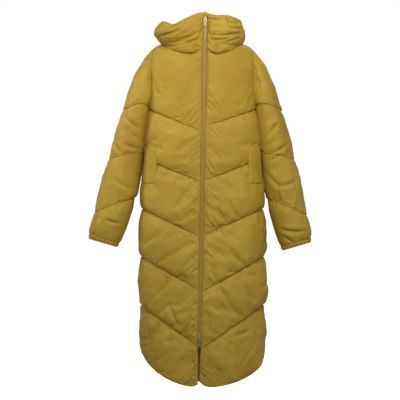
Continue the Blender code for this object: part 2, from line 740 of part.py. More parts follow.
def make_armhole(side):
    """A cutter for the hole that a sleeve opens into."""
    bpy.ops.mesh.primitive_cylinder_add(vertices=20, radius=1, depth=0.09)
    cutter = bpy.context.object
    cutter.name = "left_armhole" if side > 0 else "right_armhole"
    cutter.rotation_euler = (0, math.radians(90), 0)
    cutter.scale = (0.108, 0.093, 1)
    cutter.location = (side * 0.190, BODY_AXIS_Y, (ARMHOLE_TOP + ARMHOLE_BOTTOM) / 2)
    return make_cutter(cutter)


def inside_patch(name, angles, rows):
    """A blank label lying on the lining."""
    grid = np.array([[(a, r) for a in np.linspace(*angles, 3)] for r in np.linspace(*rows, 3)])
    levels = (-LINING_DEPTH - LINING - 0.0034, -LINING_DEPTH - LINING - 0.0042)
    outer, inner = (raised(body, grid[..., 0], grid[..., 1], level + 0 * grid[..., 0]) for level in levels)
    return padded(name, "label", outer, inner)


def make_neck_trim():
    """The hanger loop, a blank label below it and a blank care label in the left side seam."""
    loop = bpy.data.curves.new("hanger_loop", "CURVE")
    loop.dimensions = "3D"
    loop.bevel_depth = 0.0015
    loop.bevel_resolution = 2
    loop.use_fill_caps = True
    spline = loop.splines.new("POLY")
    reach = 0.030
    turns = np.linspace(0, math.pi, 11)
    points = [(reach * math.cos(a), -0.0165 - 0.006 * math.sin(a), 0.013 * math.sin(a)) for a in turns]
    spline.points.add(len(points) - 1)
    for point, place in zip(spline.points, points):
        point.co = (*place, 1)
    add_object("hanger_loop", loop, "zip_tape")
    inside_patch("neck_label", (math.pi - 0.36, math.pi + 0.36), (6.62, 6.86))
    inside_patch("care_label", (math.radians(76), math.radians(87)), (2.45, 2.75))


def make_zip_guard(line):
    """The wind guard: a plain strip behind the zip, inside the coat."""
    low = along_closure(ZIP_BOTTOM)
    high = along_closure(-0.14)
    box("zip_guard", "shell", (-0.025, 0.0095, low), (0.025, 0.0115, high), line)


def build():
    line = closure_frame()
    back = panel_layers("back", "back", 11)
    left = panel_layers("left", "left_front", 6)
    right = panel_layers("right", "right_front", 6)
    for side, walls, prefix in ((1, back + left, "left"), (-1, back + right, "right")):
        armhole = make_armhole(side)
        for wall in walls:
            cut(wall, armhole)
        pivot = (side * SLEEVE_PIVOT[0], *SLEEVE_PIVOT[1:])
        hang_on_pivot(prefix + "_sleeve_pivot", pivot, sleeve_layers(side, prefix))
        make_pocket(prefix, side, left if side > 0 else right)
    make_collar()
    hang_on_pivot("hood_pivot", HOOD_PIVOT, make_hood())
    make_zip_tapes(line)
    make_sliders(line)
    make_neck_trim()
    make_zip_guard(line)


clear_scene()
COAT = collection("quilted_coat")
CUTTERS = collection("cutters")
build()
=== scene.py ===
"""The looks of a long quilted coat: simulated padded panels, hood, zip, trim, materials, light and camera.

Metres, +Z up, front towards -Y, the wearer's left towards +X. The surfaces follow the same formulas as the frame.
"""

import math

import bpy
import numpy as np
from mathutils import Matrix, Vector, noise


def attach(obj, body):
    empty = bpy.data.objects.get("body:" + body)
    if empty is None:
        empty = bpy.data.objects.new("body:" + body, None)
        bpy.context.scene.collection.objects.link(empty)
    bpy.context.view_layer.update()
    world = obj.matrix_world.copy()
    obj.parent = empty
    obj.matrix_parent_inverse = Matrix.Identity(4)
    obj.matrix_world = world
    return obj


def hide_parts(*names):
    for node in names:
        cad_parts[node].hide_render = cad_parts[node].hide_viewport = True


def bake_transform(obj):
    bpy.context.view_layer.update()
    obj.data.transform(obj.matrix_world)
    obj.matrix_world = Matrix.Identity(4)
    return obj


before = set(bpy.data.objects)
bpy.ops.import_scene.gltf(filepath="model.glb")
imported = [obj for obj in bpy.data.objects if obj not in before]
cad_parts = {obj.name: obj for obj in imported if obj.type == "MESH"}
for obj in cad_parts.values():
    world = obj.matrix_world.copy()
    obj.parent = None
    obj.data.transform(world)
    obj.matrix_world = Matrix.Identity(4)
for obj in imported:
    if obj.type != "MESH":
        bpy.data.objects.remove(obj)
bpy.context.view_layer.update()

# ---------------------------------------------------------------- the coat's shape
COAT_LENGTH = 1.19
BODY_AXIS_Y = -0.045
SECTION_POWER = 0.8
BODY_HEIGHTS = (-1.19, -0.98, -0.79, -0.55, -0.36, -0.23, -0.12)
HALF_WIDTHS = (0.208, 0.209, 0.212, 0.208, 0.197, 0.189, 0.187)
BACK_DEPTHS = (0.165, 0.158, 0.150, 0.140, 0.134, 0.130, 0.120)
CHEST_HEIGHT = -0.12
NECK_HALF_WIDTH = 0.080
NECK_HALF_DEPTH = 0.084
NECK_FRONT_DROP = 0.045
NECK_SIDE_RISE = 0.014
NECK_SEAM_DROP = 0.029  # of the collar's seam at the front
FRONT_SLOPE = 0.041
CLOSURE_LEAN = 0.0185
CLOSURE_OFFSET = 0.008
# The five chevron seams: at the closure on the wearer's left and right, and at the side seams.
SEAM_CENTRES = ((-1.049, -0.854, -0.659, -0.472, -0.285), (-1.054, -0.855, -0.667, -0.476, -0.301))
SEAM_SIDES = (-0.900, -0.732, -0.567, -0.396, -0.221)
VENT_RISES = (0.125, 0.178)  # of the hem at the side seams, wearer's left and right
HEM_LIFT = 0.009
HEM_CORNERS = (0.008, 0.026)  # how far each front's lower corner is rounded up
CORNER_SHARE = 0.09  # how far round that corner reaches
# How far a front edge stands from the closure, at heights from the hem to the collar's top.
EDGE_HEIGHTS = (-1.19, -1.10, -1.04, -0.25, -0.02, 0.094, 0.099)
EDGE_REACHES = (0.0045, 0.0030, 0.0065, 0.0080, 0.0095, 0.0098, -0.0003)
ARMHOLE_MIDDLE = 5.74  # in rows
ARMHOLE_REACH = 0.72  # in rows
ARMHOLE_TURNS = (math.radians(24), math.radians(28))  # front and back of the side seam
SLEEVE_STATIONS = (
    (0.00, 0.1890, -0.020, 0.1885, -0.226, 0.088),
    (0.12, 0.222, -0.075, 0.1940, -0.262, 0.088),
    (0.25, 0.262, -0.170, 0.1995, -0.315, 0.083),
    (0.40, 0.297, -0.285, 0.2075, -0.385, 0.078),
    (0.55, 0.325, -0.385, 0.2165, -0.455, 0.075),
    (0.70, 0.348, -0.475, 0.2290, -0.530, 0.072),
    (0.85, 0.370, -0.570, 0.2510, -0.608, 0.068),
    (1.00, 0.386, -0.658, 0.2770, -0.690, 0.056),
)
# Places of the armhole, the three seams and the cuff along a sleeve's outer and inner edge.
SLEEVE_OUTER = (0.0, 0.315, 0.555, 0.86, 0.985)
SLEEVE_INNER = (0.0, 0.050, 0.385, 0.70, 0.985)
SLEEVE_INSET = 0.006
# The hood and collar: profiles of (place, radius from the neck's axis, height over the neck seam).
HOOD_FRONT = ((0.0, 0.0840, -0.002), (0.5, 0.0808, 0.066), (1.0, 0.0773, 0.137))
HOOD_SIDE = ((0.0, 0.080, -0.002), (0.25, 0.112, 0.000))
HOOD_LEFT = (*HOOD_SIDE, (0.5, 0.135, 0.012), (0.75, 0.140, 0.048), (1.0, 0.128, 0.080))
HOOD_RIGHT = (*HOOD_SIDE, (0.5, 0.141, 0.014), (0.75, 0.163, 0.040), (1.0, 0.138, 0.062))
HOOD_CENTRE_ANGLE = math.radians(20)
HOOD_BACK = (
    (0.00, 0.084, -0.002),
    (0.15, 0.098, 0.034),
    (0.30, 0.140, 0.026),
    (0.45, 0.186, -0.050),
    (0.62, 0.226, -0.150),
    (0.78, 0.268, -0.120),
    (1.00, 0.246, 0.040),
)
ZIP_DEPTH = 0.002
ZIP_TOP = 0.098
ZIP_BOTTOM = -1.040


def unit(vectors):
    return vectors / np.maximum(np.linalg.norm(vectors, axis=-1, keepdims=True), 1e-12)


def smooth_table(z, heights, values):
    """A cubic curve through (heights, values)."""
    heights = np.array(heights)
    values = np.array(values)
    slopes = np.gradient(values, heights)
    z = np.clip(z, heights[0], heights[-1])
    k = np.clip(np.searchsorted(heights, z, side="right") - 1, 0, len(heights) - 2)
    span = heights[k + 1] - heights[k]
    t = (z - heights[k]) / span
    start = (2 * t**3 - 3 * t**2 + 1) * values[k] + (t**3 - 2 * t**2 + t) * span * slopes[k]
    end = (3 * t**2 - 2 * t**3) * values[k + 1] + (t**3 - t**2) * span * slopes[k + 1]
    return start + end


def smoothstep(low, high, value):
    t = np.clip((value - low) / (high - low), 0, 1)
    return t * t * (3 - 2 * t)


def bell(offset, width):
    """1 at no offset and nearly 0 from two widths away."""
    return np.exp(-((offset / width) ** 2))


def front_y(z):
    return -2 * NECK_HALF_DEPTH + FRONT_SLOPE * (z + NECK_FRONT_DROP)


def closure_x(z):
    return CLOSURE_OFFSET + CLOSURE_LEAN * z


def powered(value, power):
    return np.sign(value) * np.abs(value) ** power


def section(angle, z):
    """A point of the body below the chest. Angle 0 is the front and a quarter turn the wearer's left."""
    width = smooth_table(z, BODY_HEIGHTS, HALF_WIDTHS)
    depth = np.where(np.cos(angle) > 0, BODY_AXIS_Y - front_y(z), smooth_table(z, BODY_HEIGHTS, BACK_DEPTHS))
    x = width * powered(np.sin(angle), SECTION_POWER)
    y = BODY_AXIS_Y - depth * powered(np.cos(angle), SECTION_POWER)
    return np.stack([x, y, z + 0 * angle], axis=-1)


def neck_ring(angle):
    x = NECK_HALF_WIDTH * np.sin(angle)
    y = -NECK_HALF_DEPTH * (1 + np.cos(angle))
    z = NECK_SIDE_RISE * np.sin(angle) ** 2 - NECK_SEAM_DROP * ((1 + np.cos(angle)) / 2) ** 2
    return np.stack([x, y, z], axis=-1)


def side_share(angle):
    """How far round towards the side seam, from 0 to 1, so that a chevron is straight in a front view."""
    return np.abs(np.sin(angle)) ** SECTION_POWER


def seam_lines(angle):
    """The heights of the five chevron seams at each angle."""
    share = side_share(angle)
    lines = []
    for left, right, side in zip(*SEAM_CENTRES, SEAM_SIDES):
        front = np.where(np.sin(angle) > 0, left, right)
        centre = np.where(np.cos(angle) > 0, front, (left + right) / 2)
        lines.append(centre + (side - centre) * share)
    return lines


def body(angle, row):
    """The body at its seams' level. Row 0 is the hem, 1 to 5 the chevron seams, 6 the chest and 7 the neck."""
    angle = np.asarray(angle, float)
    row = np.asarray(row, float) + 0 * angle
    share = side_share(angle)
    left = np.sin(angle) > 0
    vent = 0.68 * (1 - np.maximum(0, 1 - share**2) ** 0.2) + 0.32 * share**2
    corner = np.where(left, *HEM_CORNERS) * np.exp(-((share / CORNER_SHARE) ** 1.5))
    hem = -COAT_LENGTH + HEM_LIFT + np.where(left, *VENT_RISES) * vent + np.where(np.cos(angle) > 0, corner, 0)
    lines = np.stack([hem, *seam_lines(angle), CHEST_HEIGHT + 0 * angle], axis=-1)
    k = np.clip(np.floor(row).astype(int), 0, 5)
    low = np.take_along_axis(lines, k[..., None], axis=-1)[..., 0]
    high = np.take_along_axis(lines, k[..., None] + 1, axis=-1)[..., 0]
    below = section(angle, low + (high - low) * np.clip(row - k, -1, 1))
    t = np.clip(row - 6, 0, 1) * math.pi / 2
    power = (2 - 1.5 * np.sin(angle) ** 2)[..., None]
    chest = section(angle, CHEST_HEIGHT + 0 * angle)
    neck = neck_ring(angle)
    flat = np.abs(np.cos(t))[..., None] ** power
    rise = np.abs(np.sin(t))[..., None] ** power
    above = neck + (chest - neck) * flat
    above[..., 2:] = chest[..., 2:] + (neck[..., 2:] - chest[..., 2:]) * rise
    return np.where((row > 6)[..., None], above, below)


def edge_reach(z):
    """From the middle of the closure to a front edge: together above the zip and nearly so below it."""
    return np.interp(z, EDGE_HEIGHTS, EDGE_REACHES)


def closure_angle(surface, row, side):
    """The angle where a row of a surface meets the front edge beside the closure."""
    angles = np.linspace(-0.6, 0.6, 241)
    points = surface(angles, np.full_like(angles, row))
    across = points[:, 0] - closure_x(points[:, 2]) - side * edge_reach(points[:, 2])
    return float(np.interp(0, across, angles))


def armhole(turn):
    """The armhole seam of the left side. Turn 0 is the shoulder, a quarter turn the front."""
    turn = np.asarray(turn, float)
    bow = np.where(np.sin(turn) > 0, ARMHOLE_TURNS[0], ARMHOLE_TURNS[1])
    angle = math.pi / 2 - bow * np.sin(turn)
    return body(angle, ARMHOLE_MIDDLE + ARMHOLE_REACH * np.cos(turn))


def sleeve(turn, place):
    """The left sleeve at its seams' level, from the armhole seam, place 0, to the cuff, place 1."""
    turn = np.asarray(turn, float)
    place = np.asarray(place, float) + 0 * turn
    table = np.array(SLEEVE_STATIONS)
    columns = (smooth_table(place, table[:, 0], table[:, k]) for k in range(1, 6))
    outer_x, outer_z, inner_x, inner_z, depth = columns
    half_x = (outer_x - inner_x) / 2
    half_z = (outer_z - inner_z) / 2
    shrink = 1 - SLEEVE_INSET / np.hypot(half_x, half_z)
    x = (outer_x + inner_x) / 2 + shrink * half_x * np.cos(turn)
    z = (outer_z + inner_z) / 2 + shrink * half_z * np.cos(turn)
    y = BODY_AXIS_Y - 0.02 * place - (depth - SLEEVE_INSET) * np.sin(turn)
    tube = np.stack([x, y, z], axis=-1)
    weight = smoothstep(0.0, 0.17, place)[..., None]
    return armhole(turn) * (1 - weight) + tube * weight


def profile(table, place):
    table = np.array(table)
    return [smooth_table(place, table[:, 0], table[:, k]) for k in (1, 2)]


def hood(angle, rise):
    """The collar and hood as one sheet from the neck seam, rise 0, to the rim, rise 1."""
    angle = np.asarray(angle, float)
    rise = np.asarray(rise, float) + 0 * angle
    forward = np.cos(angle) > 0
    end_weight = np.where(forward, np.cos(angle) ** 2, np.cos(angle) ** 4)
    ends = [np.where(forward, f, b) for f, b in zip(profile(HOOD_FRONT, rise), profile(HOOD_BACK, rise))]
    left = np.sin(angle) > 0
    sides = [np.where(left, f, b) for f, b in zip(profile(HOOD_LEFT, rise), profile(HOOD_RIGHT, rise))]
    radius, height = (s + end_weight * (e - s) for s, e in zip(sides, ends))
    height = height + neck_ring(angle)[..., 2]
    return np.stack([radius * np.sin(angle), -NECK_HALF_DEPTH - radius * np.cos(angle), height], axis=-1)


# ---------------------------------------------------------------- meshes
def add_mesh(name, points, faces, materials=(), smooth=True):
    mesh = bpy.data.meshes.new(name)
    mesh.from_pydata(np.asarray(points).reshape(-1, 3).tolist(), [], faces)
    mesh.polygons.foreach_set("use_smooth", [smooth] * len(mesh.polygons))
    for found in materials:
        mesh.materials.append(found)
    obj = bpy.data.objects.new(name, mesh)
    bpy.context.scene.collection.objects.link(obj)
    return obj


def grid_faces(rows, columns, wrap=False, flip=False):
    faces = []
    for i in range(rows - 1):
        for j in range(columns if wrap else columns - 1):
            k = (j + 1) % columns
            face = (i * columns + j, i * columns + k, (i + 1) * columns + k, (i + 1) * columns + j)
            faces.append(face[::-1] if flip else face)
    return faces


def grid_normals(points, wrap=False, flip=False):
    """Unit normals of a grid of points, outwards where its faces are outwards."""
    if wrap:
        du = np.roll(points, -1, 1) - np.roll(points, 1, 1)
    else:
        du = np.gradient(points, axis=1)
    dv = np.gradient(points, axis=0)
    return unit(np.cross(du, dv)) * (-1 if flip else 1)


def fbm(points, scale, seed, octaves=3):
    """Smooth noise from -1 to 1 at each point."""
    flat = points.reshape(-1, 3) * scale + np.array([seed * 13.1, seed * 7.7, seed * 3.3])
    values = [noise.fractal(Vector(p), 1.0, 2.0, octaves) for p in flat]
    return np.clip(np.array(values).reshape(points.shape[:-1]), -1, 1)


def refine(points, factor, axis, wrap=False):
    """More rows or columns of a grid, on smooth curves through the ones it has."""
    points = np.moveaxis(points, axis, 0)
    count = len(points)
    place = np.arange(0, count if wrap else count - 1 + 1e-9, 1 / factor)
    k = np.minimum(np.floor(place + 1e-9).astype(int), count - 1 if wrap else count - 2)
    t = (place - k).reshape(-1, *[1] * (points.ndim - 1))
    steps = ((k + i) % count if wrap else np.clip(k + i, 0, count - 1) for i in (-1, 0, 1, 2))
    a, b, c, d = (points[step] for step in steps)
    made = b + 0.5 * t * (c - a + t * (2 * a - 5 * b + 4 * c - d + t * (3 * (b - c) + d - a)))
    return np.moveaxis(made, 0, axis)


def finer(points, rows, columns, wrap=False):
    return refine(refine(points, rows, 0), columns, 1, wrap)


def edge_ramp(columns, steepness):
    """A row of columns that rises from 0 at both edges to 1."""
    return np.minimum(1, steepness * (1 - np.abs(np.linspace(-1, 1, columns))))[None, :]


def groove(phase, width):
    """Narrow grooves, one at each whole number of the phase, from 0 to 1 deep."""
    return bell(np.sin(math.pi * phase), width)


def ridged(points, scale, seed):
    """Broad rounded swells with sharp valleys between them, from about -0.5 to 1."""
    return 2.4 * np.abs(fbm(points, scale, seed, 2)) - 0.45


CLOTH = {
    "quality": 5,
    "mass": 0.25,
    "air_damping": 2.0,
    "tension_stiffness": 20,
    "compression_stiffness": 20,
    "shear_stiffness": 6,
    "tension_damping": 8,
    "compression_damping": 8,
    "shear_damping": 8,
    "vertex_group_mass": "pins",
    "pin_stiffness": 1,
    "use_pressure": True,
}
CLOTH_FRAMES = 22


def inflate(name, points, pins, wrap=False, flip=False, *, growth, pressure, weight, cap, bend):
    """A grid of cloth sewn down where pins is 1 and blown up in between. Returns the settled grid."""
    obj = add_mesh(name, points, grid_faces(*points.shape[:2], wrap, flip))
    sewn = np.nonzero(pins.reshape(-1) > 0.5)[0].tolist()
    obj.vertex_groups.new(name="pins").add(sewn, 1.0, "REPLACE")
    cloth = obj.modifiers.new("Cloth", "CLOTH")
    for key, value in CLOTH.items():
        setattr(cloth.settings, key, value)
    cloth.settings.bending_stiffness = bend
    cloth.settings.uniform_pressure_force = pressure
    cloth.settings.shrink_min = -growth
    cloth.settings.effector_weights.gravity = weight
    cloth.collision_settings.use_collision = False
    cloth.point_cache.frame_start = 1
    cloth.point_cache.frame_end = CLOTH_FRAMES
    scene = bpy.context.scene
    for step in range(1, CLOTH_FRAMES + 1):
        scene.frame_set(step)
    settled = obj.evaluated_get(bpy.context.evaluated_depsgraph_get()).to_mesh()
    moved = np.empty(len(settled.vertices) * 3)
    settled.vertices.foreach_get("co", moved)
    scene.frame_set(1)
    bpy.data.objects.remove(obj)
    shift = moved.reshape(points.shape) - points
    length = np.linalg.norm(shift, axis=-1, keepdims=True)
    return points + shift * np.minimum(1, cap / np.maximum(length, 1e-9))


def finish_cloth(obj, thickness, levels):
    """Gives cloth its thickness, and rounds it off by levels of subdivision."""
    if thickness:
        modifier = obj.modifiers.new("Fabric", "SOLIDIFY")
        modifier.thickness = thickness
        modifier.offset = -1
    if levels:
        modifier = obj.modifiers.new("Smooth", "SUBSURF")
        modifier.levels = levels
        modifier.render_levels = levels
    return obj


def stand_for(piece, slot, *nodes):
    """The piece takes the place of CAD nodes, which are hidden; the slot is not used."""
    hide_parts(*nodes)
    return piece


# ---------------------------------------------------------------- creases
# Creases seen from the front, in millimetres: x and z of both ends, half width and depth.
COLLAR_CREASES = (
    (-148, 30, -72, 58, 4.0, 8.5), (-150, 62, -95, 70, 5.0, 4.0),
    (-90, 16, -14, 44, 3.8, 8.0), (-60, 6, -12, 24, 3.4, 6.0),
    (-120, 10, -50, 18, 4.0, 6.0), (18, 36, 128, 41, 4.0, 8.5),
    (84, 98, 104, 60, 3.6, 8.0), (100, 62, 132, 58, 3.6, 8.0),
    (96, 78, 124, 72, 3.0, 5.0), (24, 18, 94, 24, 3.6, 6.0),
    (28, 90, 62, 82, 3.4, 4.5), (80, 12, 130, 26, 4.0, 5.0),
)
SLEEVE_CREASES = (
    (-305, -344, -287, -372, 4.0, 6.0), (-240, -312, -194, -334, 4.5, 8.0),
    (-268, -346, -200, -360, 4.5, 7.0), (-254, -410, -220, -458, 5.0, 8.0),
    (-332, -606, -290, -618, 4.0, 5.0), (-300, -470, -245, -500, 5.0, 4.0),
    (-270, -250, -215, -290, 5.0, 5.0), (228, -312, 260, -270, 4.5, 8.0),
    (232, -380, 290, -346, 4.5, 8.0), (228, -404, 272, -376, 4.0, 6.5),
    (220, -436, 264, -488, 5.0, 8.5), (264, -488, 322, -474, 4.5, 6.5),
    (276, -640, 356, -645, 4.5, 6.5), (283, -664, 322, -688, 4.0, 5.5),
    (215, -350, 250, -330, 4.0, 6.0),
)
BODY_CREASES = (
    (-184, -985, -192, -1030, 6.0, 5.0), (-112, -972, -142, -1130, 8.0, 6.0),
    (-150, -960, -176, -1010, 5.5, 5.0), (-66, -1006, -42, -936, 5.0, 6.0),
    (-150, -860, -108, -800, 6.0, 5.0), (-196, -690, -160, -650, 6.0, 5.0),
    (-112, -905, -88, -965, 5.5, 6.0), (58, -832, 112, -924, 5.5, 7.0),
    (148, -832, 178, -888, 5.5, 6.0), (30, -790, 78, -832, 5.0, 5.0),
    (52, -566, 88, -622, 5.0, 6.0), (92, -545, 128, -602, 5.0, 5.0),
    (100, -716, 150, -768, 5.5, 6.0), (98, -1005, 160, -990, 6.0, 5.0),
    (172, -950, 196, -1030, 6.0, 5.0), (60, -1010, 40, -1110, 7.0, 4.5),
)
CREASE_SAG = 0.05  # of a crease's length
CREASE_SWELL = 0.40  # of a crease's depth
CREASE_BACK = -0.055  # creases are in front of this y


def crease_depth(points, creases):
    """How far each point of the coat's front is drawn in: narrow creases with a swell on both sides."""
    depth = np.zeros(points.shape[:-1])
    for crease in creases:
        x, z, end_x, end_z, width, deep = np.array(crease) / 1000
        run = np.array([end_x - x, end_z - z])
        flat = points[..., [0, 2]] - (x, z)
        share = np.clip((flat @ run) / (run @ run), 0, 1)
        # A crease sags a little between its ends.
        off = flat - share[..., None] * run
        off[..., 1] += CREASE_SAG * np.linalg.norm(run) * np.sin(math.pi * share)
        gap = np.linalg.norm(off, axis=-1)
        taper = np.sin(math.pi * np.clip(share, 0.03, 0.97)) ** 0.5
        swell = CREASE_SWELL * bell(gap - 3.2 * width, 1.8 * width)
        depth += deep * taper * (bell(gap, width) - swell)
    return np.where(points[..., 1] < CREASE_BACK, depth, 0)


# ---------------------------------------------------------------- body panels
POCKET_TOP = -0.355
POCKET_HEIGHT = 0.128
WELT_ANGLES = (math.radians(46), math.radians(73))
SLOT_ANGLES = (math.radians(74.4), math.radians(78.5))
SLOT_INSET = 0.012  # of the slot's ends from the welt's
BAG_ANGLES = (math.radians(38), math.radians(84))

# Places of the grid's rows in a channel, close together beside its seams.
CHANNEL = (0, 0.014, 0.035, 0.062, 0.095, 0.135, 0.18, 0.23, 0.285, 0.34, 0.4, 0.46, 0.52, 0.58, 0.64, 0.7)
CHANNEL += (0.755, 0.81, 0.855, 0.895, 0.93, 0.958, 0.981)
YOKE_ROWS = 42
LAST_ROW = 6.995
PUFF = 0.0125
UNDER_WELT = 0.0085  # the quilting's height under a welt
LINING_DEPTH = 0.0046
LINING_THICKNESS = 0.0006


def panel_rows():
    rows = [k + place for k in range(5) for place in CHANNEL]
    yoke = (np.arange(YOKE_ROWS) / (YOKE_ROWS - 1)) ** 1.25
    return np.array(rows + list(5 + (LAST_ROW - 5) * yoke))


def armhole_share(row):
    """How far the armhole bites into a row at the side seam, from 0 to 1."""
    return math.sqrt(max(0, 1 - ((row - ARMHOLE_MIDDLE) / ARMHOLE_REACH) ** 2))


def panel_angles(panel, rows, columns):
    share = np.linspace(0, 1, columns)
    angles = []
    for row in rows:
        front = math.pi / 2 - ARMHOLE_TURNS[0] * armhole_share(row)
        back = math.pi / 2 + ARMHOLE_TURNS[1] * armhole_share(row)
        if panel == "back":
            ends = (back, 2 * math.pi - back)
        elif panel == "left":
            ends = (closure_angle(body, row, 1), front)
        else:
            ends = (-front, closure_angle(body, row, -1))
        angles.append(ends[0] + (ends[1] - ends[0]) * share)
    return np.array(angles)


def within(value, limits):
    return (value > limits[0]) & (value < limits[1])


def pocket_region(turned, points, angles, inset):
    """Which points are in a pocket's place, between two angles and an inset from its ends."""
    heights = (POCKET_TOP - POCKET_HEIGHT + inset, POCKET_TOP - inset)
    return within(turned, angles) & within(points[..., 2], heights)


def channel_share(row):
    """How far up its channel a row is, from 0 to 1."""
    share = np.where(row >= 5, (row - 5) / 2, row - np.floor(np.clip(row, 0, 4.9999)))
    return np.clip(share, 0, 1)


def channel_crown(share):
    """A channel's fullness from 0 at its seams to 1, steep beside them and fullest below its middle."""
    return (1 - np.abs(2 * share**0.85 - 1) ** 3.2) ** 0.6


def lifted(points, level, normal, least):
    """Points moved out where they sank below a least height over the seams' level."""
    height = np.sum((points - level) * normal, axis=-1)
    return points + normal * np.maximum(0, least - height)[..., None]


PUCKER_PITCH = 0.0245
PUCKER_DEPTH = 0.0068
CRINKLE_DEPTH = 0.0026
TUCK_PITCH = 0.017
TUCK_DEPTH = 0.0026


def front_puckers(points, side, seed):
    """Short slanted puckers beside the closure, soft folds further out and small tucks at the seams."""
    x, z = points[..., 0], points[..., 2]
    from_edge = np.abs(x - closure_x(z)) - edge_reach(z)
    noisy = fbm(points, 9, seed, 2)
    slanted = z + 1.15 * from_edge
    strength = 0.6 + 0.4 * np.sin(z * 97 + 5 * side + 3 * noisy)
    reach = 0.030 + 0.022 * np.sin(z * 61 + 2 * side)
    off_edge = 1 - np.exp(-from_edge / 0.003)
    below = smoothstep(-0.15, -0.26, z)
    grooves = groove(slanted / PUCKER_PITCH + 0.7 * noisy, 0.40)
    deep = PUCKER_DEPTH * bell(from_edge, reach) * off_edge * strength * grooves * (0.25 + 0.75 * below)
    crinkled = ridged(np.stack([0.5 * x, 0 * x, slanted], axis=-1), 42, seed + 4)
    deep += CRINKLE_DEPTH * bell(from_edge, 0.022) * off_edge * crinkled * (0.35 + 0.65 * below)
    low = smoothstep(-0.45, -0.85, z)
    drawn = np.stack([0.22 * x, 0 * x, 0.8 * slanted], axis=-1)
    folds = ridged(drawn + 0.05 * noisy[..., None], 13, seed + 2) * (0.0004 + 0.0024 * low)
    return folds * smoothstep(0.01, 0.07, from_edge) - deep


def seam_tucks(points, share, heights, along, seed):
    """Small tucks across a seam, where its stitches draw the cloth in."""
    away = np.minimum(share, 1 - share) * heights
    near = np.exp(-away / 0.011) * (1 - np.exp(-away / 0.003))
    noisy = fbm(points, 14, seed, 2)
    return -TUCK_DEPTH * near * (0.5 + 0.5 * noisy) * groove(along / TUCK_PITCH + 1.2 * noisy, 0.36)


def hem_rows(level, normal, settled):
    """Three more rows that turn the hem in and up behind the panel."""
    up = unit(level[6] - level[0])
    outward = settled[4] - level[4]
    bulge = np.sum(outward * normal[4], axis=-1)[:, None]
    first = level[0] + normal[0] * bulge * 0.25 - up * 0.0020
    second = level[0] - normal[0] * 0.0042 - up * 0.0016
    third = level[0] - normal[0] * 0.0052 + up * 0.016
    return np.stack([third, second, first])


def edge_column(level, normal, settled, column, inner):
    """Two more columns that turn a front edge in behind the panel."""
    across = unit(level[:, column] - level[:, inner])
    first = settled[:, column] - normal[:, column] * 0.0030 + across * 0.0012
    second = settled[:, column] - normal[:, column] * 0.0052 - across * 0.012
    return first, second


def faces_around(hole):
    """The faces of a grid, without those that lie wholly in its hole."""
    gone = hole.reshape(-1)
    return [face for face in grid_faces(*hole.shape) if not gone[list(face)].all()]


def make_body_lining(name, level, normal, turned, seed):
    """The lining of a body panel, which hangs a little slack behind the quilting."""
    slack = edge_ramp(level.shape[1], 5) * np.minimum(1, np.arange(len(level)) / 6)[:, None]
    ripple = 0.0012 * fbm(level * np.array([1, 1, 0.35]), 26, seed + 5, 2) * slack
    inside = level - normal * (LINING_DEPTH + 0.0018 * slack + ripple)[..., None]
    faces = faces_around(pocket_region(turned, level, SLOT_ANGLES, SLOT_INSET))
    return finish_cloth(add_mesh(name, inside, faces, [LINING]), LINING_THICKNESS, 0)


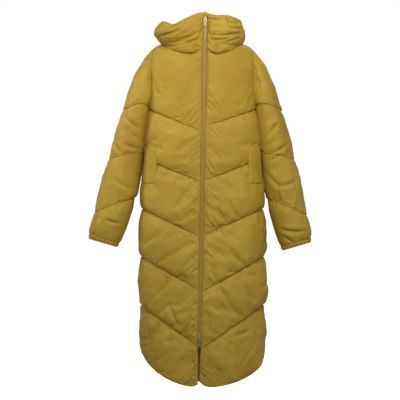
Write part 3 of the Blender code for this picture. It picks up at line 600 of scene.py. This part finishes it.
def make_panel(panel, name, columns, seed):
    """One quilted body panel and its lining."""
    rows = panel_rows()
    angles = panel_angles(panel, rows, columns)
    turned = np.abs(angles)
    grid = np.repeat(rows[:, None], columns, 1)
    level = body(angles, grid)
    normal = grid_normals(level)
    ends = (1 - np.abs(2 * np.linspace(0, 1, columns)[None, :] - 1) ** 14) ** 0.6
    fullness = np.interp(grid, (0, 1, 2, 3, 4, 5, 7), (0.9, 1.0, 1.0, 1.0, 0.95, 0.85, 0.7))
    crown = channel_crown(channel_share(grid)) * ends * fullness
    start = level + normal * (crown * (PUFF + 0.002 * fbm(level, 20, seed, 2)))[..., None]
    pins = np.zeros(level.shape[:2])
    for seam in (0, 1, 2, 3, 4, 5, LAST_ROW):
        pins[np.argmin(np.abs(rows - seam))] = 1
    pins[:, [0, -1]] = 1
    under = pocket_region(turned, level, (WELT_ANGLES[0] + 0.03, SLOT_ANGLES[1] + 0.02), 0.006)
    start = np.where(under[..., None], level + normal * UNDER_WELT, start)
    pins[under] = 1
    settled = start
    settled = inflate(name, start, pins, growth=0.025, pressure=4.0, weight=0.2, cap=0.014, bend=0.6)
    settled = np.where(under[..., None], start, lifted(settled, level, normal, 0.62 * PUFF * crown))
    kept = np.interp(grid, (0, 1, 4.95, 5.25, 7), (0.85, 0.7, 0.7, 0.35, 0.25))[..., None]
    settled = start + (settled - start) * kept
    # A finer grid for the folds and puckers.
    factors = (2, 2) if panel == "back" else (4, 3)
    settled, level, grid, turned = (finer(v, *factors) for v in (settled, level, grid, turned))
    normal = grid_normals(level)
    share = channel_share(grid)
    offset = seam_tucks(settled, share, np.where(grid >= 5, 0.30, 0.19), turned * 0.21, seed)
    if panel == "back":
        offset += ridged(settled * np.array([0.5, 0.5, 1]), 11, seed + 4) * 0.0022
    else:
        offset += front_puckers(settled, 1 if panel == "left" else -1, seed)
        offset -= crease_depth(settled, BODY_CREASES)
    calm = np.minimum(1, np.minimum(share, 1 - share) * 16) * edge_ramp(settled.shape[1], 22)
    calm = np.where(pocket_region(turned, level, (WELT_ANGLES[0], SLOT_ANGLES[1]), 0), 0.2, calm)
    settled = settled + grid_normals(settled) * (offset * np.clip(calm, 0, 1))[..., None]
    outer = np.concatenate([hem_rows(level, normal, settled), settled])
    hole = pocket_region(turned, level, SLOT_ANGLES, SLOT_INSET)
    hole = np.concatenate([np.zeros((3, hole.shape[1]), bool), hole])
    if panel != "back":
        order = -1 if panel == "left" else 1
        above, outwards = (np.concatenate([v[:1]] * 3 + [v]) for v in (level, normal))
        column, inner = (0, 4) if panel == "left" else (-1, -5)
        extra = edge_column(above, outwards, outer, column, inner)
        outer = np.concatenate([outer, np.stack(extra[::order], axis=1)][::order], axis=1)
        hole = np.concatenate([hole, np.zeros((len(hole), 2), bool)][::order], axis=1)
    quilt = add_mesh(name, outer, faces_around(hole), [NYLON])
    thinned = (slice(None, None, 2 * factors[0]), slice(None, None, factors[1]))
    thinner = (v[thinned] for v in (level, normal, turned))
    return quilt, make_body_lining(name.replace("quilt", "inner"), *thinner, seed)


# ---------------------------------------------------------------- sleeves
SLEEVE_COLUMNS = 72
SLEEVE_PUFF = 0.0068
# How far a sleeve of each side hangs from the even shape at its cuff, in x and z.
SLEEVE_SHIFTS = {1: (-0.005, -0.016), -1: (-0.013, -0.004)}
SLEEVE_LEAN = 0.007  # how far the inside of a sleeve lies against the coat's side
# The cuff's rings: place along it, inset and how much of the gathers each has.
CUFF_RINGS = (
    (-0.004, 0.001, 0.2),
    (0.000, -0.0005, 1.0),
    (0.006, -0.0025, 1.0),
    (0.012, -0.0015, 1.2),
    (0.0165, 0.002, 1.2),
    (0.017, 0.006, 0.8),
    (0.012, 0.0085, 0.5),
    (0.000, 0.0095, 0.4),
    (-0.02, 0.0085, 0.2),
)


def sleeve_grid(rows, turns, side):
    row = np.repeat(rows[:, None], len(turns), 1)
    turn = np.repeat(turns[None, :], len(rows), 0)
    outer, inner = (np.interp(row, np.arange(5), places) for places in (SLEEVE_OUTER, SLEEVE_INNER))
    place = (outer + inner) / 2 + (outer - inner) / 2 * np.cos(turn)
    points = sleeve(turn, place) * np.array([side, 1, 1])
    shift = np.array([SLEEVE_SHIFTS[side][0], 0, SLEEVE_SHIFTS[side][1]])
    points = points + place[..., None] ** 2 * shift
    lean = bell(place - 0.40, 0.20) * ((1 - np.cos(turn)) / 2) ** 2
    points[..., 0] -= side * SLEEVE_LEAN * lean
    return row, turn, points


def make_cuff(side, prefix):
    """The gathered band of the cuff, turned in over its elastic."""
    turns = np.linspace(0, 2 * math.pi, 240, endpoint=False)
    _, _, (above, end) = sleeve_grid(np.array([3.9, 4.0]), turns, side)
    along = unit(end - above)
    out = unit(end - end.mean(axis=0))
    gather = 0.0013 * np.sin(turns * 41 + 0.6 * np.sin(turns * 5)) + 0.0007 * np.sin(turns * 17 + 1)
    rings = []
    for step, inset, ruffled in CUFF_RINGS:
        ring = end + along * step - out * inset + out * (gather * ruffled)[:, None]
        rings.append(ring + along * (0.0010 * ruffled * np.sin(turns * 23))[:, None])
    band = refine(np.array(rings), 3, 0)
    cuff = add_mesh(prefix + "_cuff_band", band, grid_faces(*band.shape[:2], True, side < 0), [NYLON])
    return finish_cloth(cuff, LINING_THICKNESS, 0)


def make_sleeve_lining(side, prefix, seed):
    turns = np.linspace(0, 2 * math.pi, 60, endpoint=False)
    _, _, level = sleeve_grid(np.linspace(0, 4, 61), turns, side)
    inward = -grid_normals(level, True, side < 0)
    inside = level + inward * (0.0055 + 0.0012 * fbm(level, 26, seed + 3, 2))[..., None]
    faces = grid_faces(*inside.shape[:2], True, side < 0)
    return finish_cloth(add_mesh(prefix + "_sleeve_inner", inside, faces, [LINING]), LINING_THICKNESS, 0)


def make_sleeve(side, prefix, seed):
    """One quilted sleeve, without its cuff and lining."""
    rows = np.array([k + place for k in range(4) for place in CHANNEL] + [4.0])
    turns = np.linspace(0, 2 * math.pi, SLEEVE_COLUMNS, endpoint=False)
    row, turn, level = sleeve_grid(rows, turns, side)
    flip = side < 0
    normal = grid_normals(level, True, flip)
    crown = channel_crown(row - np.floor(np.minimum(row, 3.999)))
    # The inside of the sleeve is flatter towards the armhole.
    wide = (1 + np.cos(turn)) / 2
    flatter = 1 - 0.7 * (1 - wide) * smoothstep(3.0, 2.2, row)
    crown = crown * np.where(row < 1, 0.35 + 0.65 * wide, flatter)
    start = level + normal * (crown * (SLEEVE_PUFF + 0.0015 * fbm(level, 20, seed, 2)))[..., None]
    pins = np.zeros(level.shape[:2])
    for seam in range(5):
        pins[np.argmin(np.abs(rows - seam))] = 1
    settled = start
    forces = {"growth": 0.03, "pressure": 3.0, "weight": 0.22, "cap": 0.010, "bend": 0.25}
    settled = inflate(prefix, start, pins, True, flip, **forces)
    settled = lifted(settled, level, normal, 0.005 * crown)
    settled, row = (finer(v, 3, 3, True) for v in (settled, row))
    share = np.clip(row - np.floor(np.clip(row, 0, 3.9999)), 0, 1)
    turn = np.linspace(0, 2 * math.pi, settled.shape[1], endpoint=False)[None, :] + 0 * row
    inner_side = (1 - np.cos(turn)) / 2
    noisy = fbm(settled, 9, seed, 2)
    drawn = settled * np.array([0.35, 0.35, 1.0])
    drawn[..., 2] -= 0.35 * np.abs(settled[..., 0])
    folded = 0.0030 * bell(row - 1.7, 1.2) * (0.35 + 0.65 * inner_side)
    offset = ridged(drawn + 0.03 * noisy[..., None], 19, seed + 2) * folded
    offset -= crease_depth(settled, SLEEVE_CREASES)
    offset += ridged(settled, 12, seed + 6) * 0.0010
    offset += seam_tucks(settled, share, 0.15, turn * 0.08, seed)
    gather = np.exp(-(4 - row) / 0.10)
    offset -= 0.0022 * gather * groove(turn * 8.5 / math.pi + noisy, 0.45)
    calm = np.clip(np.minimum(share, 1 - share) * 22, 0, 1)
    calm = calm * (1 - 0.8 * smoothstep(0.3, 0.8, inner_side) * smoothstep(3.0, 2.2, row))
    settled = settled + grid_normals(settled, True, flip) * (offset * calm)[..., None]
    return add_mesh(prefix + "_sleeve_quilt", settled, grid_faces(*settled.shape[:2], True, flip), [NYLON])


# ---------------------------------------------------------------- hood and collar
# Waves of the hood's rim: angle from the front in degrees, width in degrees, and height.
RIM_WAVES = ((60, 18, 0.009), (27, 12, -0.004), (-86, 16, 0.012), (-54, 12, -0.007))
HOOD_COLUMNS = 220
HOOD_FULL = 0.0105  # half of the hood's thickness
HOOD_EDGE = 0.0030  # half of its thickness at the neck seam


def hood_shape(angle, rise):
    """The hood's sheet, with the roll of its lower edge that hangs over the yoke and its uneven rim."""
    points = hood(angle, rise)
    sideways = smoothstep(0.12, 0.62, np.abs(np.sin(angle))) * smoothstep(-0.5, 0.1, np.cos(angle))
    roll = sideways * bell(rise - 0.17, 0.10)
    outward = np.stack([np.sin(angle), -np.cos(angle), 0 * angle], axis=-1)
    points = points + outward * (0.015 * roll)[..., None]
    points[..., 2] -= 0.009 * roll
    turned = np.degrees(np.arctan2(np.sin(angle), np.cos(angle)))
    rim = sum(high * bell(turned - middle, width) for middle, width, high in RIM_WAVES)
    points[..., 2] += rim * rise**2
    return points


def make_hood():
    def thickness(rise):
        return HOOD_EDGE + (HOOD_FULL - HOOD_EDGE) * min(1, 7 * rise)

    # Each row's place past the neck seam, its distance from the sheet, and 1 outside or 0 inside.
    outer = [(r, thickness(r), 1) for r in np.linspace(0, 1, 46)]
    turns = np.linspace(math.pi / 2, -math.pi / 2, 9)[1:-1]
    rim = [(1 + HOOD_FULL * math.cos(a), HOOD_FULL * math.sin(a), 1) for a in turns]
    inner = [(r, -thickness(r), 0) for r in np.linspace(1, 0, 36)]
    table = np.array(outer + rim + inner)
    rises = np.minimum(table[:, 0], 1)
    past = np.maximum(table[:, 0] - 1, 0)
    angles = []
    for rise in rises:
        start = closure_angle(hood_shape, rise, 1)
        end = 2 * math.pi + closure_angle(hood_shape, rise, -1)
        angles.append(np.linspace(start, end, HOOD_COLUMNS))
    angles = np.array(angles)
    rise = rises[:, None] + 0 * angles
    step = 1e-3
    level = hood_shape(angles, rise)
    du = hood_shape(angles + step, rise) - hood_shape(angles - step, rise)
    low, high = np.clip(rise - step, 0, 1), np.clip(rise + step, 0, 1)
    dv = hood_shape(angles, high) - hood_shape(angles, low)
    normal = unit(np.cross(du, dv))
    edge = edge_ramp(HOOD_COLUMNS, 14)
    offset = table[:, 1][:, None] * (0.12 + 0.88 * edge**0.5)
    points = level + normal * offset[..., None] + unit(dv) * past[:, None, None]
    drawn = points * np.array([0.45, 0.6, 1.25])
    points += normal * (ridged(drawn, 13, 9) * 0.0030 * edge)[..., None]
    pins = np.zeros(level.shape[:2])
    pins[[0, -1]] = 1
    pins[:, [0, -1]] = 1
    settled = points
    settled = inflate("hood", points, pins, growth=0.03, pressure=1.5, weight=0.2, cap=0.007, bend=0.5)
    settled = finer(settled, 2, 2)
    wrinkles = ridged(settled * np.array([0.5, 0.7, 1.4]), 34, 21) * 0.0013
    outside = refine(table[:, 2], 2, 0)[:, None]
    wrinkles = wrinkles - 0.8 * crease_depth(settled, COLLAR_CREASES) * np.clip(outside, 0, 1)
    # The seams beside the hood's middle panel.
    turned = finer(angles, 2, 2) - math.pi
    wrinkles = wrinkles - 0.0045 * bell(np.abs(turned) - HOOD_CENTRE_ANGLE, 0.022) * outside
    wrinkles = wrinkles * edge_ramp(settled.shape[1], 14)
    settled = settled + grid_normals(settled) * wrinkles[..., None]
    obj = add_mesh("hood_and_collar", settled, grid_faces(*settled.shape[:2]), [NYLON, LINING])
    first_inner = 2 * (len(outer) + len(rim) + 2)
    per_row = settled.shape[1] - 1
    slots = (np.arange(len(obj.data.polygons)) // per_row >= first_inner).astype(int)
    obj.data.polygons.foreach_set("material_index", slots.tolist())
    return obj


# ---------------------------------------------------------------- stitching
STITCH_PITCH = 0.0042
STITCH_LENGTH = 0.0030
STITCH_RADIUS = 0.00035
SEAM_COLUMNS = 120


def make_stitches(name, lines):
    """Short threads along lines of (points, normals), as one piece, darker than the shell so that they also paint
    the shade in the seams.
    """
    places, faces = [], []
    ring = [(math.cos(a), math.sin(a)) for a in np.linspace(0, 2 * math.pi, 5, endpoint=False)]
    for points, normals in lines:
        run = np.concatenate([[0], np.cumsum(np.linalg.norm(np.diff(points, axis=0), axis=1))])
        for start in np.arange(STITCH_PITCH / 2, run[-1] - STITCH_LENGTH, STITCH_PITCH):
            ends = np.array([start, start + STITCH_LENGTH])
            first, last = np.stack([np.interp(ends, run, points[:, k]) for k in range(3)], axis=1)
            up = unit(np.array([np.interp(start, run, normals[:, k]) for k in range(3)]))
            along = unit(last - first)
            across = np.cross(along, up)
            count = len(places)
            for share, size in ((0.0, 0.35), (0.2, 1.0), (0.8, 1.0), (1.0, 0.35)):
                middle = first + (last - first) * share + up * STITCH_RADIUS * (size - 0.6)
                places += [middle + STITCH_RADIUS * size * (c * across + s * up) for c, s in ring]
            for i in range(3):
                for j in range(5):
                    k = (j + 1) % 5
                    low, high = count + 5 * i, count + 5 * (i + 1)
                    faces.append((low + j, high + j, high + k, low + k))
            faces += [tuple(count + j for j in range(5)), tuple(count + 15 + j for j in reversed(range(5)))]
    return add_mesh(name, np.array(places), faces, [THREAD_AND_SEAM_SHADE])


def seam_stitches(panel):
    """The lines of stitching in a body panel's chevron seams."""
    lines = []
    for seam in (1, 2, 3, 4, 5):
        angles = panel_angles(panel, [seam], SEAM_COLUMNS)
        rows = np.array([[seam - 0.01], [seam], [seam + 0.01]])
        level = body(np.repeat(angles, 3, 0), np.repeat(rows, SEAM_COLUMNS, 1))
        lines.append((level[1], grid_normals(level)[1]))
    return lines


def sleeve_stitches(side):
    turns = np.linspace(0, 2 * math.pi, SEAM_COLUMNS)
    lines = []
    for seam in (1, 2, 3):
        _, _, level = sleeve_grid(np.array([seam - 0.01, seam, seam + 0.01]), turns, side)
        lines.append((level[1], grid_normals(level)[1] * side))
    return lines


# ---------------------------------------------------------------- closure
def closure_matrix():
    along = Vector((CLOSURE_LEAN, FRONT_SLOPE, 1)).normalized()
    across = (Vector((1, 0, 0)) - along * along.x).normalized()
    inwards = along.cross(across)
    start = Vector((closure_x(-NECK_FRONT_DROP), front_y(-NECK_FRONT_DROP), -NECK_FRONT_DROP))
    return Matrix.Translation(start) @ Matrix((across, inwards, along)).transposed().to_4x4()


def along_closure(z):
    return (z + NECK_FRONT_DROP) * math.sqrt(1 + CLOSURE_LEAN**2 + FRONT_SLOPE**2)


def to_world(points):
    m = np.array(closure_matrix())
    return points @ m[:3, :3].T + m[:3, 3]


def make_tape(side, prefix, low, high):
    """Woven tape, slightly cupped, with a thicker cord beside the teeth."""
    xs = np.array([0.0012, 0.0032, 0.0042, 0.0052, 0.0075, 0.0100, 0.0125])
    ys = np.array([0.0002, -0.0004, -0.0002, 0.0004, 0.0004, 0.0006, 0.0012])
    zs = np.linspace(low, high, 160)
    grid = np.zeros((len(zs), len(xs), 3))
    grid[..., 0] = side * xs
    grid[..., 1] = ZIP_DEPTH + ys + 0.0002 * np.sin(zs * 140)[:, None]
    grid[..., 2] = zs[:, None]
    tape = add_mesh(prefix + "_tape", to_world(grid), grid_faces(*grid.shape[:2], False, side < 0), [TAPE])
    return stand_for(finish_cloth(tape, 0.0007, 1), "zip_tape", prefix + "_zip_tape")


# One moulded tooth: the lower corners of its front, and its faces.
TOOTH_CORNERS = ((0.0, -0.0013, -0.0005), (0.0008, -0.0016, -0.0007), (0.0034, -0.0013, -0.0006))
TOOTH_FACES = ((0, 1, 4, 3), (1, 2, 5, 4), (6, 9, 10, 7), (7, 10, 11, 8), (0, 6, 7, 1), (1, 7, 8, 2))
TOOTH_FACES += ((3, 4, 10, 9), (4, 5, 11, 10), (0, 3, 9, 6), (2, 8, 11, 5))
TOOTH_PITCH = 0.0022
TOOTH_BITE = 0.0004  # how far a tooth reaches past the middle


def make_teeth(side, prefix, low, high):
    """One row of the zip: the tooth repeated, half a pitch higher on the wearer's right."""
    corners = np.array(TOOTH_CORNERS)
    tooth = np.concatenate([corners * mirror for mirror in ((1, 1, 1), (1, 1, -1), (1, -1, 1), (1, -1, -1))])
    tooth[:, 0] = side * (tooth[:, 0] - TOOTH_BITE)
    centres = np.arange(low + 0.013, high - 0.005, TOOTH_PITCH) + (TOOTH_PITCH / 2 if side < 0 else 0)
    points = np.concatenate([tooth + (0, ZIP_DEPTH, centre) for centre in centres])
    faces = [tuple(n + 12 * k for n in face[::side]) for k in range(len(centres)) for face in TOOTH_FACES]
    teeth = add_mesh(prefix + "_teeth", to_world(points), faces, [TEETH], False)
    return stand_for(teeth, "teeth", prefix + "_zip_teeth")


def make_zip():
    ends = along_closure(ZIP_BOTTOM), along_closure(ZIP_TOP)
    sides = ((1, "left"), (-1, "right"))
    return [make(side, prefix, *ends) for side, prefix in sides for make in (make_tape, make_teeth)]


# ---------------------------------------------------------------- pockets, guard and small parts
def level_patch(angles, heights, columns, rows):
    turn = np.repeat(np.linspace(*angles, columns)[None, :], rows, 0)
    height = np.repeat(np.linspace(*heights, rows)[:, None], columns, 1)
    level = section(turn, height)
    return level, grid_normals(level)


def pad_points(level, normal, low, high, rounding):
    """Front and back of a pad over a patch of the body, its edges rounded together."""
    rows, columns = level.shape[:2]
    u = np.abs(np.linspace(-1, 1, columns))[None, :]
    v = np.abs(np.linspace(-1, 1, rows))[:, None]
    crown = ((1 - u**rounding) * (1 - v ** (2 * rounding))) ** 0.5
    return level + normal * (low + (high - low) * crown)[..., None], level + normal * low


def closed_pad(name, front, back, materials):
    """A front and a back grid, joined round their edges."""
    rows, columns = front.shape[:2]
    count = rows * columns
    behind = [tuple(n + count for n in face) for face in grid_faces(rows, columns, False, True)]
    place = np.arange(count).reshape(rows, columns)
    ring = [*place[0], *place[1:, -1], *place[-1, -2::-1], *place[-2:0:-1, 0]]
    ring = [int(n) for n in ring]
    sides = [(b, a, a + count, b + count) for a, b in zip(ring, ring[1:] + ring[:1])]
    points = np.concatenate([front.reshape(-1, 3), back.reshape(-1, 3)])
    return add_mesh(name, points, grid_faces(rows, columns) + behind + sides, materials)


def make_pocket(side, prefix):
    """A pocket's welt over its slot, and its bag between the quilting and the lining."""
    low = POCKET_TOP - POCKET_HEIGHT
    welt_angles, bag_angles = (sorted((side * a, side * b)) for a, b in (WELT_ANGLES, BAG_ANGLES))
    level, normal = level_patch(welt_angles, (low, POCKET_TOP), 22, 44)
    front, back = pad_points(level, normal, 0.0090, 0.0155, 9)
    front += normal * (0.0008 * fbm(front, 40, 4 + side, 2))[..., None]
    welt = finish_cloth(closed_pad(prefix + "_welt", front, back, [NYLON]), 0, 1)
    level, normal = level_patch(bag_angles, (low - 0.03, POCKET_TOP + 0.01), 26, 30)
    bag = closed_pad(prefix + "_bag", *pad_points(level, normal, -0.0235, -0.0100, 8), [LINING])
    stand_for(welt, "shell", prefix + "_pocket_welt")
    return welt, stand_for(bag, "lining", prefix + "_pocket_bag")


def make_labels():
    """Blank woven labels inside: one at the back of the neck, one in the left side seam."""
    made = []
    for node, angles, rows, slack in (
        ("neck_label", (math.pi - 0.36, math.pi + 0.36), (6.62, 6.86), 0.0006),
        ("care_label", (math.radians(76), math.radians(87)), (2.45, 2.75), 0.0040),
    ):
        level = body(np.linspace(*angles, 16)[None, :], np.linspace(*rows, 20)[:, None])
        curl = np.linspace(1, 0, 20)[:, None] ** 2
        ripple = 0.0003 * np.sin(np.linspace(0, 9, 16))[None, :] * curl
        points = level - grid_normals(level) * (0.0080 + slack * curl + ripple)[..., None]
        label = add_mesh(node + "_cloth", points, grid_faces(20, 16, False, True), [LABEL])
        made.append(stand_for(finish_cloth(label, 0.0004, 1), "label", node))
    return made


LOOP_REACH = 0.030
LOOP_HEIGHT = 0.013
LOOP_SECTION = (0.0007, 0.0024)  # half of the tape's thickness and width


def make_loop():
    """The hanger loop, a flat tape that arches up from the back of the neck seam."""
    turn = np.linspace(0, math.pi, 41)
    # Its two ends turn back to the neck seam that they are sewn into.
    across = LOOP_REACH * np.cos(turn) + 0.0046 * np.cos(turn) ** 7
    depth = -0.0165 - 0.006 * np.sin(turn) + 0.0076 * np.cos(turn) ** 8
    centre = np.stack([across, depth, LOOP_HEIGHT * np.sin(turn)], axis=1)
    tangent = unit(np.gradient(centre, axis=0))
    out = unit(np.cross(tangent, [0, 1, 0]))
    sides = np.cross(out, tangent)
    around = np.linspace(0, 2 * math.pi, 12, endpoint=False)
    thick, wide = LOOP_SECTION
    rings = [centre + out * thick * math.cos(a) + sides * wide * math.sin(a) for a in around]
    faces = grid_faces(len(turn), len(around), True)
    last = len(around) * (len(turn) - 1)
    faces += [tuple(reversed(range(len(around)))), tuple(last + j for j in range(len(around)))]
    loop = add_mesh("hanger_loop_tape", np.stack(rings, axis=1), faces, [TAPE])
    return stand_for(loop, "zip_tape", "hanger_loop")


GUARD_HALF_WIDTH = 0.025
GUARD_TOP = -0.14


def make_guard():
    """The wind guard, a long flat pad behind the zip."""
    xs = np.linspace(-GUARD_HALF_WIDTH, GUARD_HALF_WIDTH, 13)
    zs = np.linspace(along_closure(ZIP_BOTTOM), along_closure(GUARD_TOP), 150)[:, None]
    crown = (1 - np.abs(xs / GUARD_HALF_WIDTH) ** 4) * 0.0012
    depths = (0.0100 - crown + 0 * zs, 0.0106 + crown + 0.0003 * np.sin(zs * 400))
    front, back = (to_world(np.stack([xs + 0 * zs, depth, zs + 0 * xs], axis=-1)) for depth in depths)
    return stand_for(closed_pad("wind_guard", front, back, [NYLON]), "shell", "zip_guard")


# ---------------------------------------------------------------- materials
def principled(name, colour, roughness):
    made = bpy.data.materials.new(name)
    made.use_nodes = True
    shader = made.node_tree.nodes["Principled BSDF"]
    shader.inputs["Base Color"].default_value = (*colour, 1)
    shader.inputs["Roughness"].default_value = roughness
    return made, made.node_tree, shader


def add_node(tree, kind, links=(), **values):
    """A shader node with input values, and links from (node, output, input)."""
    made = tree.nodes.new("ShaderNode" + kind)
    for key, value in values.items():
        made.inputs[key].default_value = value
    for source, output, socket in links:
        tree.links.new(source.outputs[output], made.inputs[socket])
    return made


def add_texture(tree, kind, **values):
    """A texture in the object's own coordinates."""
    place = add_node(tree, "TexCoord")
    return add_node(tree, "Tex" + kind, [(place, "Object", "Vector")], **values)


def add_bump(tree, shader, texture, strength, distance, under=None):
    """Relief from a texture, over another bump if there is one."""
    links = [(texture, "Fac", "Height")] + ([(under, "Normal", "Normal")] if under else [])
    bump = add_node(tree, "Bump", links, Strength=strength, Distance=distance)
    tree.links.new(bump.outputs["Normal"], shader.inputs["Normal"])
    return bump


def add_tone(tree, shader, texture, colours, positions=(0, 1)):
    """A base colour that wanders between two."""
    ramp = add_node(tree, "ValToRGB", [(texture, "Fac", "Fac")])
    for element, colour, position in zip(ramp.color_ramp.elements, colours, positions):
        element.position = position
        element.color = (*colour, 1)
    tree.links.new(ramp.outputs["Color"], shader.inputs["Base Color"])


def nylon():
    """The shell: slight changes of tone, a fine weave and small creases."""
    made, tree, shader = principled("nylon", (0.42, 0.27, 0.024), 0.60)
    shader.inputs["Specular IOR Level"].default_value = 0.27
    shader.inputs["Sheen Weight"].default_value = 0.04
    shader.inputs["Sheen Roughness"].default_value = 0.45
    tone = add_texture(tree, "Noise", Scale=6, Detail=3)
    add_tone(tree, shader, tone, ((0.388, 0.236, 0.018), (0.462, 0.300, 0.028)), (0.35, 0.68))
    weave = add_bump(tree, shader, add_texture(tree, "Noise", Scale=900, Detail=1), 0.08, 0.0004)
    creases = add_texture(tree, "Noise", Scale=26, Detail=4, Roughness=0.55)
    add_bump(tree, shader, creases, 0.09, 0.004, weave)
    return made


def cloth_material(name, colour, roughness, scale, strength):
    """A matt woven cloth: fine ribs and slight changes of tone."""
    made, tree, shader = principled(name, colour, roughness)
    shades = [[min(1, share * c) for c in colour] for share in (0.86, 1.10)]
    add_tone(tree, shader, add_texture(tree, "Noise", Scale=14), shades)
    ribs = add_texture(tree, "Wave", Scale=scale, Distortion=0.6)
    ribs.bands_direction = "Z"
    add_bump(tree, shader, ribs, strength, 0.0004)
    return made


def metal_material(name, colour, roughness):
    made, tree, shader = principled(name, colour, roughness)
    shader.inputs["Metallic"].default_value = 1.0
    add_bump(tree, shader, add_texture(tree, "Noise", Scale=600), 0.15, 0.0002)
    return made


NYLON = nylon()
LINING = cloth_material("lining_cloth", (0.26, 0.165, 0.030), 0.42, 220, 0.05)
TAPE = cloth_material("tape_weave", (0.37, 0.215, 0.028), 0.8, 330, 0.5)
TEETH = cloth_material("teeth_plastic", (0.49, 0.32, 0.070), 0.38, 60, 0.05)
# The stitches are real, but their thread is darker than the shell so that it also paints the shade in the seams'
# grooves.
THREAD_AND_SEAM_SHADE = cloth_material("thread_and_seam_shade", (0.30, 0.185, 0.020), 0.7, 900, 0.3)
LABEL = cloth_material("label_weave", (0.78, 0.76, 0.70), 0.6, 300, 0.2)
METAL = metal_material("pale_metal", (0.36, 0.275, 0.12), 0.48)


# ---------------------------------------------------------------- stage
WHITE = (1, 1, 1, 1)
WORLD_STRENGTH = 0.32
FLOOR_HEIGHT = -1.27
FLOOR_REACH = 30
VIEW_CENTRE = (-0.0087, -0.5365)  # x and z
VIEW_WIDTH = 1.4
CAMERA_DISTANCE = 10.0
SENSOR_WIDTH = 36
# Area lights: place, target, size, power and spread.
LIGHTS = {
    "key": ((0.06, -1.60, 0.80), (0, 0, -0.20), (1.0, 0.8), 25, math.pi),
    "fill": ((2.0, -2.4, 0.0), (0.1, 0, -0.7), (1.6, 2.2), 9.5, math.pi),
    "rim": ((-1.40, -0.25, 0.25), (-0.32, -0.05, -0.28), (0.3, 0.6), 0.75, math.radians(45)),
    "back": ((0.3, 2.2, 1.0), (0, 0, -0.4), (2.0, 1.4), 30, math.pi),
}


def add_light(name, place, target, size, power, spread):
    light = bpy.data.lights.new(name, "AREA")
    light.shape = "RECTANGLE"
    light.size, light.size_y = size
    light.energy = power
    light.spread = spread
    obj = bpy.data.objects.new(name, light)
    bpy.context.scene.collection.objects.link(obj)
    obj.location = place
    obj.rotation_euler = (Vector(target) - Vector(place)).to_track_quat("-Z", "Y").to_euler()


def make_stage():
    """A white world and floor whose brightness behind the coat doesn't wash out its shading."""
    scene = bpy.context.scene
    scene.view_settings.view_transform = "Standard"
    scene.world = bpy.data.worlds.new("world")
    scene.world.use_nodes = True
    tree = scene.world.node_tree
    lighting = tree.nodes["Background"]
    lighting.inputs["Color"].default_value = WHITE
    lighting.inputs["Strength"].default_value = WORLD_STRENGTH
    backdrop = add_node(tree, "Background", Color=WHITE)
    seen = add_node(tree, "LightPath")
    mix = add_node(tree, "MixShader", [(seen, "Is Camera Ray", "Fac")])
    tree.links.new(lighting.outputs["Background"], mix.inputs[1])
    tree.links.new(backdrop.outputs["Background"], mix.inputs[2])
    tree.links.new(mix.outputs["Shader"], tree.nodes["World Output"].inputs["Surface"])
    paper, _, shader = principled("paper", (0.93, 0.93, 0.93), 0.9)
    shader.inputs["Emission Color"].default_value = WHITE
    shader.inputs["Emission Strength"].default_value = 0.85
    corners = [(x * FLOOR_REACH, y * FLOOR_REACH, FLOOR_HEIGHT) for x, y in ((-1, -1), (1, -1), (1, 1), (-1, 1))]
    floor = add_mesh("studio_floor", corners, [(0, 1, 2, 3)], [paper])
    floor.visible_diffuse = False
    floor.visible_glossy = False
    for name, settings in LIGHTS.items():
        add_light(name, *settings)


def make_camera():
    scene = bpy.context.scene
    data = bpy.data.cameras.new("camera")
    data.sensor_width = SENSOR_WIDTH
    data.lens = SENSOR_WIDTH * CAMERA_DISTANCE / VIEW_WIDTH
    scene.camera = bpy.data.objects.new("camera", data)
    scene.collection.objects.link(scene.camera)
    scene.camera.location = (VIEW_CENTRE[0], BODY_AXIS_Y - CAMERA_DISTANCE, VIEW_CENTRE[1])
    scene.camera.rotation_euler = (math.pi / 2, 0, 0)


def build_body():
    for panel, columns, seed in (("left_front", 46, 1), ("right_front", 46, 2), ("back", 92, 3)):
        name = panel.replace("_front", "")
        quilt, lining = make_panel(name, panel + "_quilt", columns, seed)
        stand_for(quilt, "shell", panel + "_shell", panel + "_wadding")
        stand_for(lining, "lining", panel + "_lining")
        stitches = make_stitches(panel + "_stitches", seam_stitches(name))
        for piece in (quilt, lining, stitches):
            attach(piece, "coat")


def build_side(side, prefix, seed):
    """A sleeve with its cuff, and the pocket below it."""
    moving = "sleeve_" + prefix
    shell = make_sleeve(side, prefix, seed)
    cuff = make_cuff(side, prefix)
    lining = make_sleeve_lining(side, prefix, seed)
    stitches = make_stitches(prefix + "_sleeve_stitches", sleeve_stitches(side))
    stand_for(shell, "shell", prefix + "_sleeve_shell", prefix + "_sleeve_wadding")
    stand_for(cuff, "shell", prefix + "_cuff_elastic")
    stand_for(lining, "lining", prefix + "_sleeve_lining")
    for piece in (shell, lining, stitches):
        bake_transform(piece)
    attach(cuff, moving)
    for piece in make_pocket(side, prefix):
        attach(piece, "coat")


HOOD_NODES = ("hood_left_panel", "hood_centre_panel", "hood_right_panel", "hood_lining")
HOOD_NODES += ("left_collar", "right_collar", "left_collar_lining", "right_collar_lining")


def build():
    make_camera()
    make_stage()
    build_body()
    build_side(1, "left", 12)
    build_side(-1, "right", 10)
    hood_piece = stand_for(make_hood(), "shell", *HOOD_NODES)
    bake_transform(hood_piece)
    for piece in make_zip() + make_labels() + [make_guard(), make_loop()]:
        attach(piece, "coat")
    for node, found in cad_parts.items():
        if any(word in node for word in ("slider", "pull", "stop", "pin")):
            found.data.materials.clear()
            found.data.materials.append(METAL)


build()
